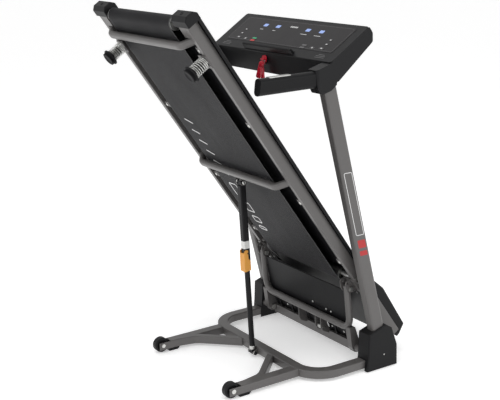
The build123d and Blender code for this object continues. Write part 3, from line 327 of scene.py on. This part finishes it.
grey_paint = finish(
    "grey_powder_coat", (0.098, 0.093, 0.091), 0.38, metallic=0.1, mottle=0.05, pitch=520.0, cells=0.2,
    relief=0.00004, coat=0.15,
)
dress(grey_paint, "base_hoop", "base_leg_left", "base_leg_right", "pivot_brackets")


def make_piece(name, points, material, body, around=True, along=False, ends=True, shade=True):
    """A mesh from a grid of points (rows, columns, xyz). Rows join to the next row; the columns close
    on themselves when `around`, the rows when `along`, and `ends` covers the first and last row with
    a fan. Coincident points are merged and all faces are turned outward."""
    grid = np.asarray(points, dtype=float)
    if ends:
        first, last = grid[:1].mean(1, keepdims=True), grid[-1:].mean(1, keepdims=True)
        columns = grid.shape[1]
        grid = np.concatenate((first.repeat(columns, 1), grid, last.repeat(columns, 1)))
    rows, columns = grid.shape[:2]
    number = np.arange(rows * columns).reshape(rows, columns)
    row = np.arange(rows if along else rows - 1)
    column = np.arange(columns if around else columns - 1)
    near, far = number[row][:, column], number[(row + 1) % rows][:, column]
    near_next = number[row][:, (column + 1) % columns]
    far_next = number[(row + 1) % rows][:, (column + 1) % columns]
    faces = np.stack((near, near_next, far_next, far), -1).reshape(-1, 4)
    mesh = bpy.data.meshes.new(name)
    mesh.from_pydata(grid.reshape(-1, 3).tolist(), [], faces.tolist())
    shell = bmesh.new()
    shell.from_mesh(mesh)
    bmesh.ops.remove_doubles(shell, verts=shell.verts, dist=1e-6)
    bmesh.ops.recalc_face_normals(shell, faces=shell.faces)
    for face in shell.faces:
        face.smooth = shade
    shell.to_mesh(mesh)
    shell.free()
    mesh.materials.append(material)
    piece = bpy.data.objects.new(name, mesh)
    bpy.context.scene.collection.objects.link(piece)
    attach(piece, body)
    return piece


def bead(path, radius, sides=10):
    """Tube of a given radius along a path: at each path point, a ring in the plane square to the path's
    direction, whose size swells by a tenth in a fine wave, as a laid weld does."""
    path = np.asarray(path, dtype=float)
    forward = np.gradient(path, axis=0)
    forward /= np.linalg.norm(forward, axis=1, keepdims=True)
    guide = np.where(np.abs(forward[:, 2:]) < 0.9, (0.0, 0.0, 1.0), (1.0, 0.0, 0.0))
    side = np.cross(forward, guide)
    side /= np.linalg.norm(side, axis=1, keepdims=True)
    top = np.cross(side, forward)
    turn = np.linspace(0, 2 * np.pi, sides, endpoint=False)[None, :, None]
    swell = radius * (1 + 0.1 * np.sin(np.arange(len(path)) * 1.9))[:, None, None]
    return path[:, None] + swell * (np.cos(turn) * side[:, None] + np.sin(turn) * top[:, None])


boots_line = 0.2739
weld_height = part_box("base_hoop")[1].z - 0.0006
base_weld_radius = 0.0022
for side, name in both_sides:
    x = np.linspace(0.229, 0.265, 24)
    leg_joint = boots_line - 0.178 - np.sqrt(0.1205**2 - (x - 0.231).clip(0) ** 2)
    path = np.stack((side * x, leg_joint, np.full_like(x, weld_height)), 1)
    make_piece(f"leg_weld_{name}", bead(path, base_weld_radius), grey_paint, "base")
    x = np.linspace(0.086, 0.122, 24)
    brace_joint = np.full_like(x, boots_line - 0.2985)
    path = np.stack((side * x, brace_joint, np.full_like(x, weld_height)), 1)
    make_piece(f"brace_weld_{name}", bead(path, base_weld_radius), grey_paint, "base")

# --- Floor pads, transport wheels and their axles -----------------------------------------------
# Moulded rubber pads hold the base off the floor. The wheels are hard black rubber, each on a zinc
# plated bolt through the forked end of its leg.

black_rubber = finish(
    "black_rubber", (0.008, 0.008, 0.009), 0.62, mottle=0.2, pitch=900.0, relief=0.00005, dust=0.03,
    specular=0.18,
)
wheel_rubber = finish(
    "wheel_rubber", (0.008, 0.008, 0.009), 0.45, mottle=0.2, pitch=400.0, relief=0.00003, dust=0.03,
    specular=0.2,
)
zinc_plate = finish(
    "zinc_plate", (0.62, 0.62, 0.6), 0.3, metallic=1.0, mottle=0.18, mottle_scale=60.0, rub=0.12,
    pitch=1500.0, relief=0.000005, dust=0.0,
)
dress(black_rubber, "floor_pads")
dress(wheel_rubber, "transport_wheel_left", "transport_wheel_right")
dress(zinc_plate, "wheel_axles")


def turned(centre, axis, profile, sides=32):
    """Surface of revolution: each profile pair is a radius and a distance along the axis, and the ring
    of that radius is spun about the axis from the centre."""
    axis = Vector(axis).normalized()
    aside = axis.orthogonal().normalized()
    other = axis.cross(aside)
    radius, height = np.asarray(profile, dtype=float).T
    turn = np.linspace(0, 2 * np.pi, sides, endpoint=False)[None, :, None]
    ring = np.cos(turn) * np.array(aside) + np.sin(turn) * np.array(other)
    return np.array(centre) + radius[:, None, None] * ring + height[:, None, None] * np.array(axis)


def bolt_head(name, centre, axis, radius, height, body, recess=0.45):
    """A domed bolt head with a round socket: flat skirt, rounded shoulder, crown, then down the hole."""
    bend = np.linspace(0, np.pi / 2, 6)
    shoulder = np.stack((radius - height * 0.7 * (1 - np.cos(bend)), height * (0.3 + 0.7 * np.sin(bend))), 1)
    hole = radius * recess
    socket = ((hole, height * 1.02), (hole * 0.96, height * 0.9), (hole * 0.9, height * 0.35))
    profile = [(radius, 0.0), *shoulder, *socket]
    return make_piece(name, turned(centre, axis, profile), zinc_plate, body)


# --- Uprights -----------------------------------------------------------------------------------
# Two raked steel tubes with rounded corners carry the console. They have the base's grey coat, and a
# plain print on the outer face: a pale hairline frame with two solid red blocks under it.

dress(grey_paint, "upright_left", "upright_right")

white_print = finish("white_print", (0.72, 0.72, 0.72), 0.45, mottle=0.06, relief=0.000004, dust=0.0)
red_print = finish("red_print", (0.42, 0.018, 0.02), 0.42, mottle=0.06, relief=0.000004, dust=0.0)


def rounded_outline(width, height, corner, steps=7):
    """Closed outline of a rectangle with round corners: each corner is a quarter turn about a centre
    that is set in from both edges by the corner's radius."""
    bend = np.linspace(0, np.pi / 2, steps)
    quarters = []
    for quarter, (right, high) in enumerate(((1, 1), (-1, 1), (-1, -1), (1, -1))):
        turn = bend + quarter * np.pi / 2
        quarters.append(
            np.stack(
                (
                    right * (width / 2 - corner) + corner * np.cos(turn),
                    high * (height / 2 - corner) + corner * np.sin(turn),
                ),
                1,
            )
        )
    return np.concatenate(quarters)


def flat_patch(centre, right, up, outline, thick, edge=0.0):
    """A thin raised patch: the outline at the surface, then at full thickness, drawn in by `edge`, on
    two directions that span its plane. The fan over the last row closes its face."""
    right, up = Vector(right).normalized(), Vector(up).normalized()
    out = np.array(right.cross(up).normalized())
    flat = outline[:, :1] * np.array(right) + outline[:, 1:] * np.array(up)
    shrunk = flat * (1 - edge / np.abs(outline).max())
    return np.stack((flat, flat + out * (thick - edge), shrunk + out * thick)) + np.array(centre)


def flat_frame(centre, right, up, width, height, corner, line, thick):
    """A thin raised line that runs round a rounded rectangle: outer foot, outer top, inner top and
    inner foot outlines, joined in a closed loop."""
    right, up = Vector(right).normalized(), Vector(up).normalized()
    out = np.array(right.cross(up).normalized()) * thick
    rings = []
    for inset, high in ((0, 0), (0, 1), (line, 1), (line, 0)):
        outline = rounded_outline(width - 2 * inset, height - 2 * inset, max(corner - inset, 0.0005))
        rings.append(outline[:, :1] * np.array(right) + outline[:, 1:] * np.array(up) + out * high)
    return np.stack(rings) + np.array(centre)


lean = math.radians(12.65)
upright_rise = Vector((0, -math.sin(lean), math.cos(lean)))


def on_upright(side, rise):
    """Middle of an upright's outer face, this far above the floor."""
    y = boots_line + 0.0139 - (rise - 0.045) * math.tan(lean)
    return (side * 0.36, y, rise)


for side, name in both_sides:
    across_face = Vector((0, side, 0))
    make_piece(
        f"upright_frame_print_{name}",
        flat_frame(on_upright(side, 0.623), across_face, upright_rise, 0.034, 0.232, 0.006, 0.0022, 0.0002),
        white_print, "base", along=True, ends=False, shade=False,
    )
    for step, (rise, tall) in enumerate(((0.478, 0.03), (0.444, 0.018))):
        make_piece(
            f"upright_block_print_{name}_{step}",
            flat_patch(
                on_upright(side, rise), across_face, upright_rise, rounded_outline(0.032, tall, 0.003), 0.0002
            ),
            red_print, "base", shade=False,
        )

# --- Boots --------------------------------------------------------------------------------------
# Moulded black covers clip over the foot of each upright and hide its welded bracket. A plated screw
# sits in a recess on the outer face.

black_plastic = finish(
    "black_moulding", (0.0068, 0.0068, 0.0076), 0.44, mottle=0.1, pitch=1100.0, cells=0.7,
    relief=0.00005, dust=0.03, specular=0.17,
)
dress(black_plastic, "boot_left", "boot_right")
for side, name in both_sides:
    recess_floor = (side * 0.3645, boots_line + 0.009, 0.051)
    bolt_head(f"boot_screw_{name}", recess_floor, (side, 0, 0), 0.0039, 0.0022, "base")

# --- Lift frame ---------------------------------------------------------------------------------
# A bent round tube with welded side plates that swings on the base and carries the deck.

dress(grey_paint, "lift_frame")
dress(zinc_plate, "fold_pivot_bolts", "incline_bolts")


def along_corners(corners, walk):
    """Points on the lines that join the corners: a whole number in `walk` is a corner, and a fraction
    is a place between two."""
    return np.stack([np.interp(walk, range(len(corners)), corners[:, axis]) for axis in (0, 1)], 1)


member_edge = np.array(((-0.0225, 0.035), (-0.0345, 0.035), (-0.0345, 0.067), (-0.0245, 0.067)))
for side, name in both_sides:
    path = along_corners(member_edge, np.linspace(0, 3, 46)) + (boots_line, 0)
    path = np.concatenate((np.full((len(path), 1), side * 0.2522), path), 1)
    make_piece(f"cross_member_weld_{name}", bead(path, 0.0018, 8), grey_paint, "lift")

# --- Deck frame ---------------------------------------------------------------------------------
# Two rectangular tubes with bent cross tubes and pressed brackets welded under them. Pan head screws
# through welded tabs hold the running board.

dress(grey_paint, "deck_rail_left", "deck_rail_right", "deck_cross_tubes")
dress(grey_paint, "incline_brackets", "strut_bracket", "roller_brackets")
dress(zinc_plate, "deck_screws")

deck_tilt = math.radians(56.29)
deck_along = Vector((0, -math.cos(deck_tilt), math.sin(deck_tilt)))
deck_under = Vector((0, -math.sin(deck_tilt), -math.cos(deck_tilt)))
deck_front = Vector((0, boots_line + 0.161, 0.0327))


def deck_point(x, along, below):
    """A place on the deck: across, back from its front end, and below its walking plane."""
    return deck_front + Vector((x, 0, 0)) + deck_along * along + deck_under * below


for side, name in both_sides:
    for step, along in enumerate((0.451, 0.742, 1.089, 1.396)):
        tab_face = deck_point(side * 0.27, along, 0.0241)
        bolt_head(f"board_screw_{name}_{step}", tab_face, deck_under, 0.006, 0.0035, "deck")
    for step, along in enumerate((0.837, 1.435)):
        corners = rounded_outline(0.026, 0.0305, 0.0095, steps=6)
        path = np.array([deck_point(side * 0.2845, along + a, 0.0135 + b) for a, b in corners])
        path = np.concatenate((path, path[:1]))
        make_piece(f"cross_tube_weld_{name}_{step}", bead(path, 0.0016, 8), grey_paint, "deck")

# --- Running board, belt and rollers ------------------------------------------------------------
# The belt is a woven polyester band with a black textured PVC face, run round two steel rollers and
# over a laminated board. Its cut edges show a paler line. Plain pale bars and frames are printed along
# one side.

board_black = finish(
    "laminated_board", (0.006, 0.006, 0.007), 0.5, specular=0.15, mottle=0.15, pitch=300.0, dust=0.04
)
roller_steel = finish(
    "turned_steel", (0.4, 0.4, 0.39), 0.34, metallic=1.0, mottle=0.12, mottle_scale=30.0, pitch=900.0,
    relief=0.000006, dust=0.0,
)
dress(board_black, "running_board")
dress(roller_steel, "front_roller", "rear_roller")

belt_face = bpy.data.materials.new("belt_face")
belt_face.use_nodes = True
tree = belt_face.node_tree
shader = tree.nodes["Principled BSDF"]
shader.inputs["Specular IOR Level"].default_value = 0.13
place = tree.nodes.new("ShaderNodeTexCoord")
laid_flat = tree.nodes.new("ShaderNodeMapping")
laid_flat.inputs["Rotation"].default_value = (deck_tilt, 0.0, 0.0)
parts = tree.nodes.new("ShaderNodeSeparateXYZ")
weave_scale = 240.0
lines = tree.nodes.new("ShaderNodeTexWave")
lines.inputs["Scale"].default_value = weave_scale
crossing = tree.nodes.new("ShaderNodeTexWave")
crossing.bands_direction = "Y"
crossing.inputs["Scale"].default_value = weave_scale
tint = use_group(tree, uneven, Color=(0.0068, 0.0066, 0.0078, 1.0), Amount=0.16, Scale=9.0)
gloss = use_group(tree, rubbed, Roughness=0.52, Amount=0.1, Scale=9.0)
edge_mix = tree.nodes.new("ShaderNodeMix")
edge_mix.data_type = "RGBA"
edge_mix.inputs["B"].default_value = (0.1, 0.1, 0.1, 1.0)
bump = tree.nodes.new("ShaderNodeBump")
bump.inputs["Distance"].default_value = 0.00015
cut_edge_from = 0.2088
weave = arithmetic(tree, "MULTIPLY", lines.outputs["Fac"], crossing.outputs["Fac"])
off_middle = arithmetic(tree, "ABSOLUTE", parts.outputs["X"], 0.0)
cut_edge = arithmetic(tree, "GREATER_THAN", off_middle, cut_edge_from)
wire(
    tree,
    (place.outputs["Object"], laid_flat.inputs["Vector"]),
    (place.outputs["Object"], parts.inputs["Vector"]),
    (laid_flat.outputs["Vector"], lines.inputs["Vector"]),
    (laid_flat.outputs["Vector"], crossing.inputs["Vector"]),
    (weave, bump.inputs["Height"]),
    (tint.outputs["Color"], edge_mix.inputs["A"]),
    (cut_edge, edge_mix.inputs["Factor"]),
    (edge_mix.outputs["Result"], shader.inputs["Base Color"]),
    (gloss.outputs["Roughness"], shader.inputs["Roughness"]),
    (bump.outputs["Normal"], shader.inputs["Normal"]),
)
dress(belt_face, "walking_belt", "drive_belt")

belt_outside = 0.0394
print_thick = 0.00015
across = Vector((1, 0, 0))
for step in range(6):
    make_piece(
        f"belt_bar_{step}",
        flat_patch(
            deck_point(-0.142, 1.045 - step * 0.05, belt_outside),
            across - deck_along * 0.3, deck_along, rounded_outline(0.046, 0.0048, 0.0015), print_thick,
        ),
        white_print, "deck", shade=False,
    )
for step, (along, length) in enumerate(((0.705, 0.07), (0.617, 0.052), (0.551, 0.034), (0.505, 0.02))):
    make_piece(
        f"belt_block_{step}",
        flat_frame(
            deck_point(-0.145, along, belt_outside), across, deck_along, 0.05, length, 0.009, 0.005,
            print_thick,
        ),
        white_print, "deck", along=True, ends=False, shade=False,
    )

# --- Foot rails and end caps --------------------------------------------------------------------
# Extruded black covers clip over the rails and end in moulded caps that guard the rear roller.

dress(black_plastic, "foot_rail_left", "foot_rail_right", "end_cap_left", "end_cap_right")
rim = [(0.0066, 0.0), (0.0066, 0.0008), (0.0058, 0.0012), (0.0046, 0.0012), (0.004, 0.0003)]
for side, name in both_sides:
    make_piece(
        f"belt_adjuster_rim_{name}", turned(deck_point(side * 0.275, 1.527, 0.008), deck_along, rim),
        black_plastic, "deck",
    )

# --- Motor bay ----------------------------------------------------------------------------------
# Under the hood a steel tray closes the bay and carries the drive motor, flywheel, control board and
# incline actuator. A moulded guard with plated screws fills the lift frame below it, and a rubber lip
# narrows the guard's slot round the actuator.

black_steel = finish(
    "black_steel", (0.008, 0.008, 0.009), 0.38, metallic=0.1, mottle=0.08, pitch=700.0, dust=0.03,
    specular=0.2,
)
turned_iron = finish(
    "turned_iron", (0.16, 0.16, 0.16), 0.38, metallic=0.9, mottle=0.15, mottle_scale=40.0, pitch=900.0,
    dust=0.0,
)
board_green = finish(
    "board_green", (0.015, 0.09, 0.04), 0.35, mottle=0.3, mottle_scale=120.0, pitch=400.0, dust=0.05
)
dress(black_steel, "motor_tray", "drive_motor")
dress(turned_iron, "flywheel")
dress(board_green, "motor_controller")
dress(black_plastic, "incline_actuator", "mains_inlet", "rocker_switch", "motor_hood", "lift_guard")
dress(zinc_plate, "actuator_rod")
slot_x, lip_foot, lip_top = 0.08, 0.0001, 0.0018
lip_outside, lip_inside = (0.056, 0.057, 0.158), (0.031, 0.076, 0.113)
lip_rings = []
for (width, low, high), proud in (
    (lip_outside, lip_foot), (lip_outside, lip_top), (lip_inside, lip_top), (lip_inside, lip_foot)
):
    corners = rounded_outline(width, high - low, 0.004)
    corners = np.concatenate((corners, corners[:1]))
    walk = np.linspace(0, len(corners) - 1, 6 * (len(corners) - 1), endpoint=False)
    loop = along_corners(corners, walk)
    loop[:, 1] += (low + high) / 2
    guard_face = np.interp(loop[:, 1], (0.069, 0.125, 0.276), (-0.0214, -0.0455, -0.076))
    lip_rings.append(np.stack((slot_x + loop[:, 0], boots_line + guard_face - proud, loop[:, 1]), 1))
make_piece(
    "actuator_slot_lip", np.stack(lip_rings), black_rubber, "lift",
    along=True, ends=False, shade=False,
)
for step, (x, y, z) in enumerate(((0.03, -0.0541, 0.166), (0.112, -0.0529, 0.16), (0.14, -0.0525, 0.158))):
    bolt_head(f"guard_screw_{step}", (x, boots_line + y, z), (0, -0.98, -0.198), 0.0042, 0.003, "lift")
for step, x in enumerate((-0.17, -0.09, 0.035, 0.118, 0.19)):
    low_face = (x, boots_line - 0.0306, 0.09)
    bolt_head(f"guard_foot_screw_{step}", low_face, (0, -0.919, -0.395), 0.0042, 0.003, "lift")

# --- Foot springs and rubber feet ---------------------------------------------------------------
# Each rear foot is a ribbed rubber boot on a flanged cup. A bright coil spring round its dark stem
# presses it down and has closed ends.

spring_wire = finish(
    "spring_wire", (0.6, 0.6, 0.58), 0.26, metallic=1.0, mottle=0.12, mottle_scale=60.0, pitch=1500.0,
    relief=0.000005, dust=0.0,
)
spring_turns, spring_radius, wire_radius = 8, 0.02, 0.0017
spring_seat, spring_rest = 0.0338, 0.0885
for side, name in both_sides:
    turn = np.linspace(0, 1, spring_turns * 28)
    closing = turn - 0.045 * np.sin(2 * np.pi * turn)
    drop = spring_seat + wire_radius + (spring_rest - spring_seat - 2 * wire_radius) * closing
    spin = turn * 2 * np.pi * spring_turns
    path = [
        deck_point(
            side * 0.28 + spring_radius * math.cos(angle), 1.361 + spring_radius * math.sin(angle), below
        )
        for angle, below in zip(spin, drop)
    ]
    coil = make_piece(f"coil_spring_{name}", bead(path, wire_radius, 10), spring_wire, "deck")
    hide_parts(f"foot_spring_{name}")
    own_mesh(coil)
rib_count = 4
rib = np.linspace(0, 1, 40)
ribbed = np.stack((0.0234 + 0.0011 * np.cos(rib * 2 * np.pi * rib_count), 0.0055 + rib * 0.0088), 1)
foot_profile = [
    (0.0146, -0.0405), (0.015, -0.039), (0.015, 0.0), (0.0278, 0.0), (0.0292, 0.0008), (0.0293, 0.0042),
    (0.0278, 0.005), *ribbed, (0.0222, 0.0155), (0.0165, 0.0158), (0.0135, 0.0142), (0.004, 0.014),
]
for side, name in both_sides:
    foot = make_piece(
        f"ribbed_foot_{name}",
        turned(deck_point(side * 0.28, 1.361, 0.089), deck_under, foot_profile, 40),
        black_rubber, f"foot_{name}",
    )
    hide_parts(f"spring_foot_{name}")

# --- Strut and latch ----------------------------------------------------------------------------
# A gas strut in a square black sleeve with a pale label holds the stored deck. An orange latch
# straddles the sleeve's lower end, and plated bolts join the strut to the deck and to the base.

orange_plastic = finish(
    "orange_moulding", (0.68, 0.3, 0.035), 0.4, mottle=0.08, pitch=900.0, relief=0.00003, dust=0.05
)
dress(black_steel, "strut_tube", "strut_sleeve")
dress(orange_plastic, "strut_latch")

strut_foot = Vector((0, boots_line - 0.31, 0.018))
strut_head = deck_point(0, 0.803, 0.058)
strut_line = (strut_head - strut_foot).normalized()
strut_reach = (strut_head - strut_foot).length
strut_back = Vector((1, 0, 0)).cross(strut_line)

label_paper = finish(
    "label_paper", (0.66, 0.66, 0.64), 0.5, mottle=0.1, mottle_scale=200.0, relief=0.000004, dust=0.0
)
label_middle = strut_foot + strut_line * (strut_reach - 0.232)
label_rows = []
for width, shift in ((0.0245, -0.014), (0.0245, 0.014), (0.02405, 0.014), (0.02405, -0.014)):
    wrap = rounded_outline(width, width, 0.0043)
    flat_wrap = wrap[:, :1] * np.array((1.0, 0, 0)) + wrap[:, 1:] * np.array(strut_back)
    label_rows.append(flat_wrap + np.array(label_middle + strut_line * shift))
make_piece(
    "strut_label", np.stack(label_rows), label_paper, "strut_sleeve",
    along=True, ends=False, shade=False,
)
for side, name in both_sides:
    bolt_place = strut_head + Vector((side * 0.0185, 0, 0))
    bolt_head(f"strut_head_bolt_{name}", bolt_place, (side, 0, 0), 0.0075, 0.004, "strut_sleeve", 0.4)
for side, name in both_sides:
    bolt_place = strut_foot + Vector((side * 0.0151, 0, 0))
    bolt_head(f"strut_foot_bolt_{name}", bolt_place, (side, 0, 0), 0.0078, 0.0048, "base", 0.4)
collar = turned(
    strut_foot + strut_line * 0.012, strut_line,
    [(0.0100, 0.0), (0.0112, 0.001), (0.0112, 0.012), (0.0106, 0.0135), (0.0101, 0.014)],
)
make_piece("strut_clevis", collar, zinc_plate, "strut_tube", ends=False)

# --- Console ------------------------------------------------------------------------------------
# A hollow black moulding spans the uprights. Its sloping cover carries a dark printed overlay with
# four lit windows and membrane keys, and a ledge along its foot holds a book.

console_plastic = finish(
    "console_moulding", (0.0085, 0.0085, 0.0095), 0.42, mottle=0.08, pitch=1300.0, cells=0.6, relief=0.00003,
    dust=0.03, specular=0.2,
)
overlay_film = finish(
    "overlay_film", (0.012, 0.0105, 0.0118), 0.36, mottle=0.05, pitch=1500.0, relief=0.000004,
    dust=0.02, coat=0.05, specular=0.2,
)
dress(console_plastic, "console_housing", "console_cover", "reading_rack", "console_crossbar")
dress(overlay_film, "display_overlay")

housing_under = Vector((0, 0.631, -0.776))
for row, (y, z) in enumerate(((-0.062, 1.1368), (-0.152, 1.0637))):
    for step, x in enumerate((-0.24, 0.0, 0.24)):
        seat = (x, boots_line + y, z)
        bolt_head(f"housing_screw_{row}_{step}", seat, housing_under, 0.0045, 0.0022, "base")

key_print = finish("key_print", (0.6, 0.6, 0.6), 0.4, mottle=0.05, relief=0.000004, dust=0.0)
key_cap = finish("key_cap", (0.045, 0.042, 0.045), 0.35, mottle=0.05, pitch=900.0, relief=0.00001, dust=0.0)
green_print = finish("green_print", (0.03, 0.3, 0.14), 0.4, mottle=0.05, relief=0.000004, dust=0.0)
warm_red_print = finish("stop_print", (0.5, 0.03, 0.025), 0.4, mottle=0.05, relief=0.000004, dust=0.0)
lit_blue = finish(
    "lit_window", (0.2, 0.28, 0.5), 0.25, mottle=0.2, mottle_scale=220.0, relief=0.000002, dust=0.0
)
window_shader = lit_blue.node_tree.nodes["Principled BSDF"]
window_shader.inputs["Emission Strength"].default_value = 0.35
window_shader.inputs["Emission Color"].default_value = (0.3, 0.42, 0.9, 1.0)
dress(key_cap, "console_keys")

face_foot = Vector((0, boots_line - 0.208, 1.108))
face_rise = Vector((0, 0.158, 0.101)).normalized()
face_out = Vector((1, 0, 0)).cross(face_rise)
overlay_top = 0.0008
key_top = overlay_top + 0.0007
patch_edge = 0.00005
key_size = (0.025, 0.0075, 0.0025)


def on_face(x, rise, above=overlay_top):
    """A place on the console's face: across, up the slope from the user's edge, and above it."""
    return face_foot + Vector((x, 0, 0)) + face_rise * rise + face_out * above


def face_patch(name, x, rise, width, height, corner, material, slot="keys", above=overlay_top, thick=0.0003):
    """A thin printed or moulded patch on the console's face."""
    outline = rounded_outline(width, height, corner)
    patch = flat_patch(on_face(x, rise, above), (1, 0, 0), face_rise, outline, thick, patch_edge)
    return make_piece(name, patch, material, "base", shade=False)


for step, x in enumerate((-0.168, -0.09, 0.09, 0.168)):
    face_patch(f"window_{step}", x, 0.134, 0.024, 0.014, 0.0025, lit_blue, "overlay")
    face_patch(f"window_mark_{step}", x - 0.002, 0.111, 0.018 if x < 0 else 0.036, 0.0022, 0.0008, key_print)
for step in range(5):
    face_patch(f"middle_mark_{step}", -0.018 + step * 0.009, 0.1405, 0.0062, 0.0075, 0.0016, key_print)
for side, name in both_sides:
    face_patch(f"speed_dot_{name}", side * 0.252, 0.056, 0.007, 0.005, 0.0015, key_print, above=key_top)
    face_patch(f"slope_dot_{name}", side * 0.204, 0.053, 0.005, 0.0065, 0.0015, key_print, above=key_top)
    face_patch(f"quick_mark_{name}_0", side * 0.255, 0.1, 0.007, 0.003, 0.001, key_print, above=key_top)
    face_patch(f"quick_mark_{name}_1", side * 0.256, 0.078, 0.009, 0.003, 0.001, key_print, above=key_top)
face_patch("start_key", -0.152, 0.06, *key_size, green_print, above=key_top)
face_patch("stop_key", -0.152, 0.048, *key_size, warm_red_print, above=key_top)
grey_key = finish("grey_key", (0.09, 0.088, 0.09), 0.4, mottle=0.05, relief=0.000004, dust=0.0)
for step, rise in enumerate((0.048, 0.06)):
    face_patch(f"mode_key_{step}", 0.152, rise, *key_size, grey_key, above=key_top)
for side, name in both_sides:
    for step, (shift, length) in enumerate(((0.0, 0.05), (0.007, 0.05), (0.014, 0.032))):
        face_patch(
            f"raised_line_{name}_{step}", side * 0.285, 0.014 + shift, length, 0.0024, 0.001, grey_key,
            above=0.0, thick=0.0006,
        )
make_piece(
    "overlay_line",
    flat_frame(on_face(0, 0.106), (1, 0, 0), face_rise, 0.628, 0.118, 0.008, 0.0008, 0.0001),
    grey_key, "base", along=True, ends=False, shade=False,
)

# --- Handles ------------------------------------------------------------------------------------
# Moulded black handles with slanted end caps, and bright pulse plates let into their tops.

dress(black_plastic, "handle_left", "handle_right", "handle_end_caps")
dress(zinc_plate, "pulse_plates")

# --- Safety key ---------------------------------------------------------------------------------
# A red key that stops the belt when it is pulled out, with a red clip that hangs from it.

red_plastic = finish(
    "red_moulding", (0.5, 0.012, 0.03), 0.3, mottle=0.06, pitch=600.0, relief=0.00001, dust=0.0, coat=0.2
)
dress(red_plastic, "safety_key", "safety_clip")
clip_top = Vector((-0.015, boots_line - 0.2215, 1.069))
clip_right, clip_up = Vector((0.6, 0.8, 0)), Vector((0, 0, 1))
clip_out = clip_right.cross(clip_up)
for step, (tip, wide, tall) in enumerate(((0.27, 0.019, 0.05), (-0.06, 0.014, 0.056))):
    jaw_up = clip_up * math.cos(tip) + clip_right * math.sin(tip)
    jaw_right = clip_right * math.cos(tip) - clip_up * math.sin(tip)
    jaw_middle = clip_top - jaw_up * tall / 2 + clip_out * (0.0055 * (1 - step))
    jaw = make_piece(
        f"clip_jaw_{step}",
        flat_patch(jaw_middle, jaw_right, jaw_up, rounded_outline(wide, tall, wide * 0.4), 0.005, 0.0008),
        red_plastic, "safety_key",
    )
    if step == 0:
        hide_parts("safety_clip")
clip_yoke = turned(
    clip_top - clip_out * 0.002 + clip_up * 0.001, clip_out,
    [(0.0085, 0.0), (0.0095, 0.001), (0.0095, 0.014), (0.0085, 0.015), (0.003, 0.015)],
)
make_piece("clip_yoke", clip_yoke, red_plastic, "safety_key")
